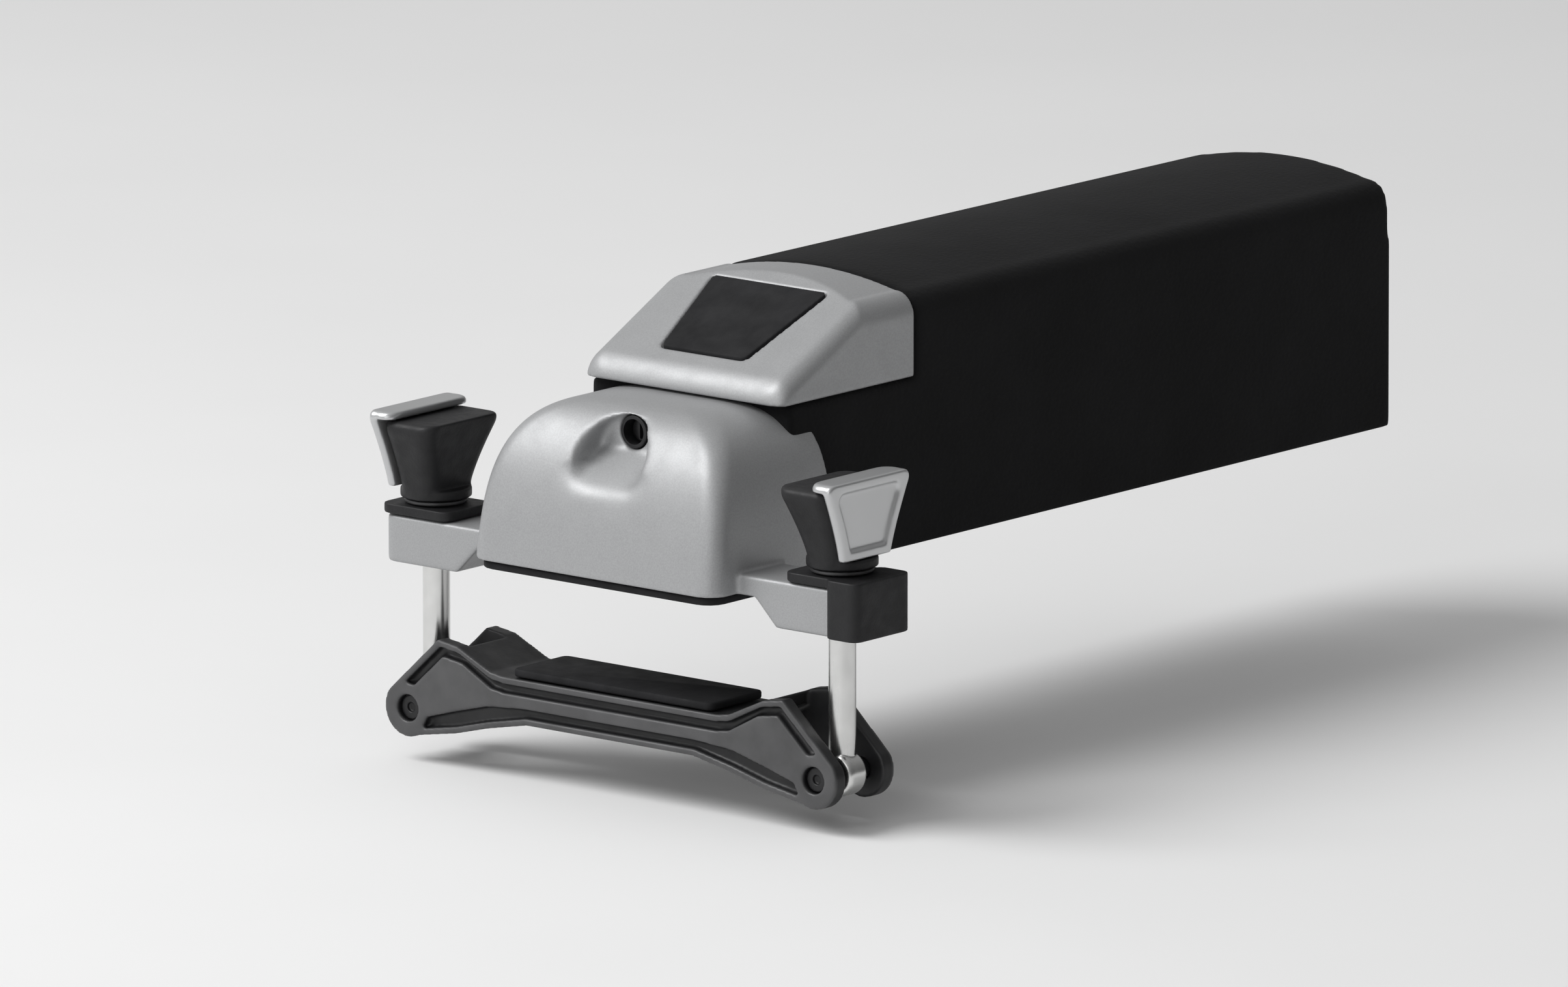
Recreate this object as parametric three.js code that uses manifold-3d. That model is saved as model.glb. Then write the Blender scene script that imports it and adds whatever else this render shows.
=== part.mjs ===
// Board carrier pad for one end of a roof crossbar.
// A domed clamp housing grips the bar between a rubber seat and a cast lower arm. Two eye bolts
// with wing knobs pull the arm up. A long soft pad on a tray runs inboard from the housing, and a
// hollow cap closes the pad's outboard end.
// Millimetres. X points inboard along the crossbar, Y rearward, Z up. The origin is on the rubber
// seat's underside, midway between the two eye bolts.
import * as THREE from 'three';
import { mergeVertices } from 'three/addons/utils/BufferGeometryUtils.js';
import Module from 'manifold-3d';

const wasm = await Module();
wasm.setup();

// Clearances
const restGap = 0.3;
const boltHoleClearance = 0.5;
const pinClearance = 0.3;
const threadClearance = 0.3;

// How far a cutting tool runs past what it cuts
const through = 400;
const spill = 1;

// Crossbar that the clamp is made for
const barChord = 80;
const barThickness = 25;
const barEdgeClearance = 3;

// Rubber seat on top of the bar
const seatThickness = 1.8;
const seatInset = 1.5;

// Domed housing
const domeFootX = -18;
const domeBackX = 28;
const domeHalfWidth = 38.2;
const domeRoofZ = 41.5;
const domeWall = 3;
const domeFaceRun = 22;
const domeFaceLean = 0.08;
const domeFaceFullness = 2.6;
const domeSideTaper = 0.05;
const domeSideRun = 33;
const domeSideFullness = 3.9;
const domeCornerRadius = 5;

// Flanges that carry the eye bolts
const boltHalfSpan = 63;
const flangeEnd = 10;
const flangeHalfThickness = 8.5;
const flangeTopZ = 7;
const flangeDrop = 4.5;
const flangeCornerRadius = 4;

// Steel bridge plate inside the housing
const bridgeThickness = 2.5;
const bridgeHalfWidth = 5.5;
const bridgeCornerRadius = 2;
const bridgeEndMargin = 4;
const bridgeBackReach = 22;
const bridgeBackHalfWidth = 13;

// Lock
const lockBelowRoof = 6.3;
const lockWallX = -1.5;
const barrelRadius = 4;
const barrelWall = 0.9;
const barrelLength = 15;
const coreRecess = 3;
const keywayWidth = 1.1;
const keywayHeight = 4.4;
const keywayDepth = 6;
const scoopRadius = 10.3;
const scoopBelowLock = 4.4;
const scoopBrow = 0.4;
const scoopFloorSlope = 0.65;
const tongueThickness = 2;
const tongueLength = 15;
const tongueHalfWidth = 2.8;
const tongueNeckRadius = 2;
const tailLength = 1;
const bossWall = 3;
const bossDepth = 8;
const browDepth = 3;
const browDrop = 6;

// Pad and its tray
const padHalfWidth = 31;
const padHeight = 64.4;
const padCrown = 4.4;
const padEdgeRadius = 6;
const padEdgeSweep = 0.42 * Math.PI;
const padEndX = 251;
const padBottomZ = 1;
const padEndLean = 1.5;
const trayHalfWidth = 24;
const trayEndMargin = 2.5;
const trayWall = 2.4;
const trayRibs = 5;
const trayRibHeight = 3.4;
const trayRibThickness = 2;
const trayCornerRadius = 2;
const tongueOfTrayThickness = 4;
const tongueOfTrayHalfWidth = 13;
const tongueOfTrayX = 4;

// End cap
const capRimGap = 0.6;
const capBandHeight = 6.4;
const capBackX = 66;
const capWall = 2.8;
const capFitGap = 0.5;
const capNoseRadius = 8.5;
const noseStart = 0.12;
const noseJoin = 0.5;
const facetSlope = 0.504;
const facetLowX = 20.4;
const capSideRadius = 4.5;
const capCornerRadius = 3.5;

// Rubber inset on the cap's facet
const insetLowX = 24.6;
const insetHighX = 48.9;
const insetLowHalf = 12.8;
const insetHighHalf = 17.5;
const insetThickness = 1.6;
const insetSink = 1.3;
const insetGap = 0.35;

// Screws
const screwRadius = 2;
const screwHeadRadius = 3.8;
const screwHeadHeight = 2.2;
const screwDriveDepth = 1.2;
const screwTipGap = 0.5;
const capScrewX = 40;
const capScrewHalfSpan = 14;
const capBossRadius = 5;
const capBossHeight = 7;
const capBossDrill = 5;
const trayScrewInset = 8;
const trayScrewHalfSpan = 8;

// Lower arm
const armHalfThickness = 11;
const armPlate = 4;
const armMiddleDepth = 10.6;
const armShoulderY = 53.5;
const armShoulderRise = 6.3;
const armShoulderLength = 6;
const armShoulderShift = 0.4;
const armShoulderDip = 0.9;
const armKneeLength = 4;
const armKneeRise = 0.6;
const armFlatHalf = 33;
const armWebHalf = 47;
const armWebThickness = 3.2;
const armRibs = 3;
const armRibThickness = 3;
const armRibPitch = 26;
const lobeRadius = 7;
const lobeDrop = 11.7;
const lobeStart = 0.62;
const lobeSweep = 2.66;
const bellyY = [48, 38, 26];
const bellyDrop = [4.2, 1.6];
const bellySag = 0.3;
const rimWidth = 1.6;
const grooveWidth = 2.3;
const grooveDepth = 2.2;
const grooveSwell = 1.5;
const pinBossRadius = 6;
const armRubberThickness = 2;
const armRubberHalf = 31;
const armRubberMargin = 1;
const armRubberCornerRadius = 2;

// Eye bolts and their pins
const boltRadius = 3.3;
const eyeRadius = 5.4;
const eyeHalfThickness = 3.5;
const boltTipGap = 1.5;
const pinRadius = 2.3;
const pinHeadRadius = 3;
const pinHeadThickness = 1.2;
const pinHeadRecess = 1.4;
const pinTail = 2.2;
const pinDimpleDepth = 0.8;
const clipRadius = 4;
const clipThickness = 0.8;
const clipGap = 0.2;
const clipMouth = 2.8;

// Wing knobs, their seats and washers
const knobSeatThickness = 2.4;
const knobSeatSkirt = 2.4;
const bootWall = 1.6;
const bootReach = 7.6;
const knobSeatOverhang = 0.5;
const knobSeatCornerRadius = 3;
const washerThickness = 1;
const washerRadius = 8;
const knobHeight = 22;
const knobFootRadius = 8.6;
const knobFootHeight = 2.4;
const knobHeadLowHalf = 8.5;
const knobHeadHighHalf = 15.8;
const knobInnerLow = 5.5;
const knobInnerHigh = 10.5;
const knobOuterLow = 5.3;
const knobOuterHigh = 5.9;
const knobHeadCorner = 3.5;
const knobCornerShare = 0.45;
const knobFlare = 1.25;
const knobShoulder = 3;
const coverThickness = 2.4;
const coverLip = 2;
const coverOverhang = 0.4;
const coverLipInset = 12;
const coverRim = 2.4;
const coverDish = 0.9;
const nutRadius = 5.2;
const nutHeight = 5;
const knobBoreTop = 5;

const roundSteps = 24;
const smallSteps = 16;

// Derived places
const padCentreTopZ = padBottomZ + padHeight;
const lockZ = domeRoofZ - lockBelowRoof;
const scoopFloorZ = lockZ - scoopBelowLock;
const capRimZ = domeRoofZ + capRimGap;
const facetLowZ = capRimZ + capBandHeight;
const armTopZ = -(barThickness + armRubberThickness + restGap);
const armShoulderZ = armTopZ + armShoulderRise;
const lobeZ = armTopZ - lobeDrop;
const pinHeadX = pinHeadRecess + pinHeadThickness - armHalfThickness;
const housingZ = seatThickness + restGap;
const seatOnFlangeZ = flangeTopZ + restGap;
const washerZ = seatOnFlangeZ + knobSeatThickness + restGap;
const knobZ = washerZ + washerThickness + restGap;
const knobTopZ = knobZ + knobHeight;
const flangeTipY = boltHalfSpan + flangeEnd;
const bridgeZ = housingZ + restGap;
const trayTongueZ = bridgeZ + bridgeThickness + restGap;
const trayX = domeBackX + restGap;
const trayHeight = trayTongueZ + tongueOfTrayThickness;
const trayEndX = padEndX - trayEndMargin;
const barrelBackX = lockWallX + barrelLength;

// Basic solids

function solid(geometry) {
  const bare = geometry.clone();
  bare.deleteAttribute('normal');
  bare.deleteAttribute('uv');
  const merged = mergeVertices(bare, 1e-4);
  const mesh = new wasm.Mesh({
    numProp: 3,
    vertProperties: new Float32Array(merged.attributes.position.array),
    triVerts: new Uint32Array(merged.index.array),
  });
  return new wasm.Manifold(mesh);
}

function geometryOf(body) {
  const mesh = body.getMesh();
  const geometry = new THREE.BufferGeometry();
  geometry.setAttribute('position', new THREE.BufferAttribute(mesh.vertProperties, 3));
  geometry.setIndex(new THREE.BufferAttribute(mesh.triVerts, 1));
  geometry.computeVertexNormals();
  return geometry;
}

function extruded(shape, depth, matrix, steps) {
  const geometry = new THREE.ExtrudeGeometry(shape, {
    depth, bevelEnabled: false, curveSegments: steps,
  });
  geometry.applyMatrix4(matrix);
  return solid(geometry);
}

// A shape drawn in X and Y, standing from z0 up to z1
function prismZ(shape, z0, z1, steps = smallSteps) {
  return extruded(shape, z1 - z0, new THREE.Matrix4().makeTranslation(0, 0, z0), steps);
}

// A shape drawn in Y and Z, running from x0 to x1
function prismX(shape, x0, x1, steps = smallSteps) {
  const matrix = new THREE.Matrix4().set(0, 0, 1, x0, 1, 0, 0, 0, 0, 1, 0, 0, 0, 0, 0, 1);
  return extruded(shape, x1 - x0, matrix, steps);
}

// A shape drawn in X and Z, running from y0 to y1
function prismY(shape, y0, y1, steps = smallSteps) {
  const matrix = new THREE.Matrix4().set(1, 0, 0, 0, 0, 0, -1, y1, 0, 1, 0, 0, 0, 0, 0, 1);
  return extruded(shape, y1 - y0, matrix, steps);
}

function polygon(points) {
  return new THREE.Shape(points.map(([a, b]) => new THREE.Vector2(a, b)));
}

function disc(a, b, radius, steps = roundSteps) {
  const points = [];
  for (let i = 0; i < steps; i += 1) {
    const angle = (2 * Math.PI * i) / steps;
    points.push([a + radius * Math.cos(angle), b + radius * Math.sin(angle)]);
  }
  return polygon(points);
}

function block(x0, x1, y0, y1, z0, z1) {
  return prismZ(polygon([[x0, y0], [x1, y0], [x1, y1], [x0, y1]]), z0, z1);
}

function roundedBlock(x0, x1, y0, y1, z0, z1, radius) {
  return prismZ(polygon(roundedRing(x0, x1, y0, y1, radius, 4)), z0, z1);
}

// Points of a rectangle with round corners, counter-clockwise from its low corner
function roundedRing(a0, a1, b0, b1, radius, steps) {
  const corners = [
    [a0 + radius, b0 + radius, Math.PI],
    [a1 - radius, b0 + radius, 1.5 * Math.PI],
    [a1 - radius, b1 - radius, 0],
    [a0 + radius, b1 - radius, 0.5 * Math.PI],
  ];
  const points = [];
  for (const [a, b, start] of corners) {
    for (let i = 0; i <= steps; i += 1) {
      const angle = start + (0.5 * Math.PI * i) / steps;
      points.push([a + radius * Math.cos(angle), b + radius * Math.sin(angle)]);
    }
  }
  return points;
}

// A closed skin over rings of equal count, each a list of [x, y, z], wound to face outwards
function loft(rings) {
  const count = rings[0].length;
  const positions = rings.flat(2);
  const faces = [];
  for (let k = 0; k + 1 < rings.length; k += 1) {
    for (let i = 0; i < count; i += 1) {
      const a = k * count + i;
      const b = k * count + ((i + 1) % count);
      faces.push(a, b, b + count, a, b + count, a + count);
    }
  }
  const last = (rings.length - 1) * count;
  for (let i = 1; i + 1 < count; i += 1) {
    faces.push(0, i + 1, i);
    faces.push(last, last + i, last + i + 1);
  }
  const geometry = new THREE.BufferGeometry();
  geometry.setAttribute('position', new THREE.Float32BufferAttribute(positions, 3));
  geometry.setIndex(faces);
  return solid(geometry);
}

// Domed housing: a plan outline at each height, with a leaning face and rounded shoulders
function domeRing(z, inset) {
  const reach = domeRoofZ - inset;
  const s = Math.min(Math.max(z, 0) / reach, 1);
  const roll = (fullness) => 1 - (1 - s ** fullness) ** (1 / fullness);
  const faceX = domeFootX + inset + domeFaceRun * roll(domeFaceFullness) + domeFaceLean * s * reach;
  const half = domeHalfWidth - inset - domeSideTaper * s * reach
    - domeSideRun * roll(domeSideFullness);
  const radius = Math.min(Math.max(domeCornerRadius - inset, 1), half * 0.8);
  const back = domeBackX - inset;
  const points = [[back, -half, z], [back, half, z]];
  for (const side of [1, -1]) {
    for (let i = 0; i <= 6; i += 1) {
      const turn = side > 0 ? i / 6 : 1 - i / 6;
      const angle = 0.5 * Math.PI * turn;
      const x = faceX + radius * (1 - Math.sin(angle));
      const y = side * (half - radius * (1 - Math.cos(angle)));
      points.push([x, y, z]);
    }
  }
  return points;
}

function domeSolid(inset, bottomZ) {
  const rings = [domeRing(bottomZ, inset)];
  const levels = 14;
  const top = domeRoofZ - inset;
  for (let i = 1; i <= levels; i += 1) {
    const z = top * Math.sin((0.5 * Math.PI * i) / levels);
    if (z > bottomZ + 1) {
      rings.push(domeRing(z, inset));
    }
  }
  return loft(rings);
}

function flanges() {
  const barEdge = barChord / 2 + barEdgeClearance;
  const foot = housingZ;
  const low = -flangeDrop;
  const side = polygon([
    [-flangeTipY, low], [-barEdge - flangeDrop, low], [-barEdge, foot],
    [barEdge, foot], [barEdge + flangeDrop, low], [flangeTipY, low],
    [flangeTipY, flangeTopZ], [-flangeTipY, flangeTopZ],
  ]);
  const bar = prismX(side, -flangeHalfThickness, flangeHalfThickness);
  const plan = roundedBlock(-flangeHalfThickness, flangeHalfThickness, -flangeTipY, flangeTipY,
    low - spill, flangeTopZ + spill, flangeCornerRadius);
  return bar.intersect(plan);
}

function scoop() {
  const back = lockWallX;
  const out = domeFootX - spill;
  const floor = polygon([
    [out, scoopFloorZ - (back - out) * scoopFloorSlope], [back, scoopFloorZ],
    [back, domeRoofZ], [out, domeRoofZ],
  ]);
  const round = prismX(disc(0, lockZ + barrelRadius + scoopBrow - scoopRadius, scoopRadius, 32),
    out, back);
  return prismY(floor, -scoopRadius, scoopRadius).intersect(round);
}

function domeHousing() {
  const boltHole = boltRadius + boltHoleClearance;
  const bridgeSlot = bridgePlateSolid(restGap);
  let body = domeSolid(0, housingZ).add(flanges());
  body = body.subtract(domeSolid(domeWall, -flangeDrop - spill));
  body = body.subtract(bridgeSlot);
  for (const side of [-1, 1]) {
    body = body.subtract(prismZ(disc(0, side * boltHalfSpan, boltHole), -through, through));
  }
  body = body.add(lockBoss()).subtract(scoop());
  body = body.subtract(prismX(disc(0, lockZ, barrelRadius + restGap),
    -through, barrelBackX + spill));
  const window = tongueOfTrayHalfWidth + restGap;
  const windowTop = trayTongueZ + tongueOfTrayThickness + restGap;
  body = body.subtract(block(domeBackX - domeWall - spill, domeBackX + spill,
    -window, window, housingZ - spill, windowTop));
  return body;
}

// Solid block behind the scoop that the lock barrel sits in
function lockBoss() {
  const round = prismX(disc(0, lockZ, barrelRadius + bossWall), domeFootX,
    lockWallX + bossDepth);
  const brow = prismY(polygon([
    [domeFootX, 0], [lockWallX + browDepth, scoopFloorZ - browDrop],
    [lockWallX + browDepth, domeRoofZ], [domeFootX, domeRoofZ],
  ]), -scoopRadius - domeWall, scoopRadius + domeWall);
  return round.add(brow).intersect(domeSolid(domeWall / 2, housingZ));
}

function seatRubber() {
  const plan = roundedBlock(domeFootX + seatInset, domeBackX - seatInset,
    -domeHalfWidth + seatInset, domeHalfWidth - seatInset, 0, seatThickness, domeCornerRadius);
  return plan;
}

// Steel plate from bolt to bolt, wider behind the bolts where the tray's tongue lies on it
function bridgePlateSolid(growth) {
  const half = bridgeHalfWidth + growth;
  const tip = flangeTipY - bridgeEndMargin + growth;
  const low = bridgeZ - growth;
  const high = bridgeZ + bridgeThickness + growth;
  const strip = roundedBlock(-half, half, -tip, tip, low, high, bridgeCornerRadius);
  const wide = bridgeBackHalfWidth + growth;
  return strip.add(block(0, bridgeBackReach + growth, -wide, wide, low, high));
}

function trayScrewPlaces() {
  const x = bridgeBackReach - trayScrewInset;
  return [[x, -trayScrewHalfSpan], [x, trayScrewHalfSpan]];
}

function bridgePlate() {
  const boltHole = boltRadius + boltHoleClearance;
  let body = bridgePlateSolid(0);
  for (const side of [-1, 1]) {
    body = body.subtract(prismZ(disc(0, side * boltHalfSpan, boltHole), -through, through));
  }
  for (const [x, y] of trayScrewPlaces()) {
    body = body.subtract(prismZ(disc(x, y, screwRadius + pinClearance, smallSteps),
      -through, through));
  }
  return body;
}

// Lock: barrel, core with a keyway, and the tongue on its tail
function lockBarrel() {
  const sleeve = prismX(disc(0, lockZ, barrelRadius), lockWallX, barrelBackX);
  const bore = prismX(disc(0, lockZ, barrelRadius - barrelWall), lockWallX - spill,
    barrelBackX + spill);
  return sleeve.subtract(bore);
}

function lockCore() {
  const radius = barrelRadius - barrelWall - pinClearance;
  const front = lockWallX + coreRecess;
  const tail = barrelBackX + restGap + tongueThickness + restGap + tailLength;
  const plug = prismX(disc(0, lockZ, radius), front, barrelBackX + restGap);
  const neck = prismX(disc(0, lockZ, tongueNeckRadius), front, tail);
  const keyway = block(front - spill, front + keywayDepth, -keywayWidth / 2, keywayWidth / 2,
    lockZ - keywayHeight / 2, lockZ + keywayHeight / 2);
  return plug.add(neck).subtract(keyway);
}

function lockTongue() {
  const x = barrelBackX + 2 * restGap;
  const round = disc(0, lockZ, tongueHalfWidth, smallSteps);
  const arm = polygon([
    [-tongueHalfWidth, lockZ - tongueLength], [tongueHalfWidth, lockZ - tongueLength],
    [tongueHalfWidth, lockZ], [-tongueHalfWidth, lockZ],
  ]);
  const body = prismX(round, x, x + tongueThickness).add(prismX(arm, x, x + tongueThickness));
  const bore = prismX(disc(0, lockZ, tongueNeckRadius + restGap / 2), -through, through);
  return body.subtract(bore);
}

// Cross-section of pad and cap, with straight sides and a crowned top
function crownShape(inset, bottomZ) {
  const half = padHalfWidth - inset;
  const top = padCentreTopZ - inset;
  const shoulder = half - padEdgeRadius;
  const shoulderZ = top - padCrown * (shoulder / padHalfWidth) ** 2;
  const points = [[-half, bottomZ], [half, bottomZ]];
  const arc = 5;
  const edge = [];
  for (let i = 0; i <= arc; i += 1) {
    const angle = (padEdgeSweep * i) / arc;
    edge.push([
      shoulder + padEdgeRadius * Math.cos(angle),
      shoulderZ - padEdgeRadius + padEdgeRadius * Math.sin(angle) / Math.sin(padEdgeSweep),
    ]);
  }
  points.push(...edge);
  const across = 10;
  for (let i = 0; i <= across; i += 1) {
    const y = shoulder * (1 - (2 * i) / across);
    points.push([y, top - padCrown * (y / padHalfWidth) ** 2]);
  }
  points.push(...edge.reverse().map(([y, z]) => [-y, z]));
  return polygon(points);
}

// Outboard end of pad and cap: a round nose that runs into the sloping facet
function noseRing(x, halfWidth, topZ, bottomZ) {
  const radius = Math.min(capSideRadius, halfWidth / 2);
  const points = [[x, -halfWidth, bottomZ], [x, halfWidth, bottomZ]];
  const steps = 4;
  for (let i = 0; i <= steps; i += 1) {
    const angle = (0.5 * Math.PI * i) / steps;
    points.push([x, halfWidth - radius * (1 - Math.cos(angle)),
      topZ - radius * (1 - Math.sin(angle))]);
  }
  for (let i = steps; i >= 0; i -= 1) {
    const angle = (0.5 * Math.PI * i) / steps;
    points.push([x, -halfWidth + radius * (1 - Math.cos(angle)),
      topZ - radius * (1 - Math.sin(angle))]);
  }
  return points;
}

function noseSolid(inset, bottomZ, backX) {
  const normal = new THREE.Vector2(-facetSlope, 1).normalize();
  const centreX = facetLowX - capNoseRadius * normal.x;
  const centreZ = facetLowZ - capNoseRadius * normal.y;
  const radius = capNoseRadius - inset;
  const lean = Math.atan2(normal.y, -normal.x);
  const faceX = centreX - radius;
  const cornerRadius = Math.max(capCornerRadius - inset, 1);
  const rings = [];
  const steps = 7;
  const footZ = capRimZ - 2 * capSideRadius;
  const halfAt = (x) => {
    const depth = Math.min(Math.max(cornerRadius - (x - faceX), 0), cornerRadius);
    const bow = cornerRadius - Math.sqrt(cornerRadius ** 2 - depth ** 2);
    return padHalfWidth - inset - bow;
  };
  for (let i = 0; i <= steps; i += 1) {
    const angle = lean * (noseStart + (1 - noseStart) * (i / steps));
    const x = centreX - radius * Math.cos(angle);
    rings.push(noseRing(x, halfAt(x), centreZ + radius * Math.sin(angle), footZ));
  }
  const endX = centreX + radius * normal.x;
  const endZ = centreZ + radius * normal.y;
  for (const x of [faceX + cornerRadius + noseJoin, backX]) {
    if (x > endX + noseJoin) {
      rings.push(noseRing(x, halfAt(x), endZ + (x - endX) * facetSlope, footZ));
    }
  }
  return loft(rings).intersect(prismX(crownShape(inset, bottomZ), -through, through));
}

function capScrewPlaces() {
  return [[capScrewX, -capScrewHalfSpan], [capScrewX, capScrewHalfSpan]];
}

// Underside of the boss that a cap screw enters
function capBossSeatZ(x) {
  return facetLowZ + (x - facetLowX) * facetSlope - capWall - capBossHeight;
}

function insetPrism(growth, low, high) {
  const widen = (insetHighHalf - insetLowHalf) / (insetHighX - insetLowX);
  const grow = growth * (1 + widen);
  const shape = polygon([
    [insetLowX - growth, -insetLowHalf - grow], [insetHighX + growth, -insetHighHalf - grow],
    [insetHighX + growth, insetHighHalf + grow], [insetLowX - growth, insetLowHalf + grow],
  ]);
  const lean = new THREE.Matrix4().makeTranslation(0, 0, facetLowZ + low)
    .multiply(new THREE.Matrix4().set(
      1, 0, 0, 0, 0, 1, 0, 0, facetSlope, 0, 1, -facetSlope * facetLowX, 0, 0, 0, 1,
    ));
  return extruded(shape, high - low, lean, 1);
}

function endCap() {
  const boss = prismZ(disc(0, 0, capBossRadius), capRimZ, padCentreTopZ);
  const outer = noseSolid(0, capRimZ, capBackX);
  let body = outer.subtract(noseSolid(capWall, capRimZ - capWall, capBackX + capWall));
  for (const [x, y] of capScrewPlaces()) {
    const seat = capBossSeatZ(x);
    const post = boss.translate([x, y, seat - capRimZ])
      .intersect(noseSolid(capWall / 4, capRimZ, capBackX));
    const drill = prismZ(disc(x, y, screwRadius + threadClearance, smallSteps),
      seat - spill, seat + capBossDrill);
    body = body.add(post).subtract(drill);
  }
  return body.subtract(insetPrism(insetGap, -insetSink, through));
}

function capInset() {
  return insetPrism(0, -insetSink + restGap, insetThickness - insetSink);
}

function padEndCut() {
  return prismY(polygon([
    [padEndX, padBottomZ], [through, padBottomZ], [through, padCentreTopZ],
    [padEndX - padEndLean, padCentreTopZ],
  ]), -through, through);
}

function padBody() {
  const gap = capWall + capFitGap;
  const joint = capBackX + restGap + spill;
  const under = noseSolid(gap, capRimZ + restGap, joint);
  const foot = block(trayX, joint, -padHalfWidth + gap, padHalfWidth - gap,
    padBottomZ, capRimZ + capFitGap + spill);
  const main = prismX(crownShape(0, padBottomZ), capBackX + restGap, padEndX);
  const lowSide = block(trayX, joint, -padHalfWidth, padHalfWidth,
    padBottomZ, capRimZ - restGap);
  let body = under.add(foot).add(main).add(lowSide).subtract(padEndCut());
  body = body.subtract(block(trayX - spill, trayEndX + restGap, -trayHalfWidth - restGap,
    trayHalfWidth + restGap, padBottomZ - spill, trayHeight + restGap));
  for (const [x, y] of capScrewPlaces()) {
    body = body.subtract(prismZ(disc(x, y, capBossRadius + restGap), 0, through));
  }
  return body;
}

function padTray() {
  const outer = roundedBlock(trayX, trayEndX, -trayHalfWidth, trayHalfWidth, 0, trayHeight,
    trayCornerRadius);
  const hollow = roundedBlock(trayX + trayWall, trayEndX - trayWall, -trayHalfWidth + trayWall,
    trayHalfWidth - trayWall, trayWall, trayHeight + spill, trayCornerRadius / 2);
  let body = outer.subtract(hollow);
  const pitch = (trayEndX - trayX) / (trayRibs + 1);
  for (let i = 1; i <= trayRibs; i += 1) {
    const x = trayX + pitch * i;
    body = body.add(block(x - trayRibThickness / 2, x + trayRibThickness / 2,
      -trayHalfWidth + trayWall / 2, trayHalfWidth - trayWall / 2, trayWall / 2,
      trayWall + trayRibHeight));
  }
  for (const [x, y] of capScrewPlaces()) {
    const post = prismZ(disc(x, y, capBossRadius), trayWall / 2, trayHeight);
    const drill = prismZ(disc(x, y, screwRadius + pinClearance, smallSteps), -spill, through);
    const sink = prismZ(disc(x, y, screwHeadRadius + restGap), -spill,
      screwHeadHeight + restGap);
    body = body.add(post).subtract(drill).subtract(sink);
  }
  const root = trayX + trayWall;
  body = body.add(block(tongueOfTrayX, root, -tongueOfTrayHalfWidth, tongueOfTrayHalfWidth,
    trayTongueZ, trayTongueZ + tongueOfTrayThickness));
  for (const [x, y] of trayScrewPlaces()) {
    body = body.subtract(prismZ(disc(x, y, screwRadius + pinClearance, smallSteps),
      -through, through));
  }
  return body;
}

// Screws, with heads and shanks as plain cylinders and a hexagon drive
function screw(x, y, headZ, tipZ, headUp) {
  const way = headUp ? 1 : -1;
  const top = headZ + way * screwHeadHeight;
  const head = prismZ(disc(x, y, screwHeadRadius), Math.min(headZ, top), Math.max(headZ, top));
  const shank = prismZ(disc(x, y, screwRadius, smallSteps), Math.min(headZ, tipZ),
    Math.max(headZ, tipZ));
  const floor = top - way * screwDriveDepth;
  const mouth = top + way * spill;
  const drive = prismZ(disc(x, y, screwHeadRadius / 2, 6), Math.min(mouth, floor),
    Math.max(mouth, floor));
  return head.add(shank).subtract(drive);
}

function capScrew([x, y]) {
  return screw(x, y, screwHeadHeight + restGap / 2, capBossSeatZ(x) + capBossDrill - screwTipGap,
    false);
}

function trayScrew([x, y]) {
  const top = trayTongueZ + tongueOfTrayThickness + restGap;
  return screw(x, y, top, bridgeZ, true);
}

// Lower arm: two cast plates joined by a web and ribs, with a groove inside each rim
function armOutline(inset, bellyLift = 0) {
  const shape = new THREE.Shape();
  const half = (side) => {
    const top = armTopZ - inset;
    const tip = boltHalfSpan;
    const radius = lobeRadius - inset;
    const bottom = armTopZ - armMiddleDepth + inset;
    const shoulderY = armShoulderY - inset * armShoulderShift;
    const shoulderZ = armShoulderZ - inset;
    const steps = 9;
    const points = [[armFlatHalf, top], [armFlatHalf + armKneeLength, top + armKneeRise],
      [shoulderY - armShoulderLength, shoulderZ - armShoulderDip], [shoulderY, shoulderZ]];
    for (let i = 0; i <= steps; i += 1) {
      const angle = lobeStart - (lobeSweep * i) / steps;
      points.push([tip + radius * Math.cos(angle), lobeZ + radius * Math.sin(angle)]);
    }
    points.push([bellyY[0], lobeZ - bellyDrop[0] + inset + bellyLift],
      [bellyY[1], lobeZ - bellyDrop[1] + inset + bellyLift], [bellyY[2], bottom - bellySag]);
    return points.map(([y, z]) => [side * y, z]);
  };
  for (const [i, [y, z]] of [...half(1), ...half(-1).reverse()].entries()) {
    if (i === 0) {
      shape.moveTo(y, z);
    } else {
      shape.lineTo(y, z);
    }
  }
  shape.closePath();
  return shape;
}

function armPlateSolid(x0, x1, outward) {
  const depth = outward > 0 ? [x1 - grooveDepth, x1 + spill] : [x0 - spill, x0 + grooveDepth];
  let groove = prismX(armOutline(rimWidth), depth[0], depth[1])
    .subtract(prismX(armOutline(rimWidth + grooveWidth, grooveSwell), -through, through));
  for (const side of [-1, 1]) {
    groove = groove.subtract(prismX(disc(side * boltHalfSpan, lobeZ, pinBossRadius),
      -through, through));
  }
  return prismX(armOutline(0), x0, x1).subtract(groove);
}

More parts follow.
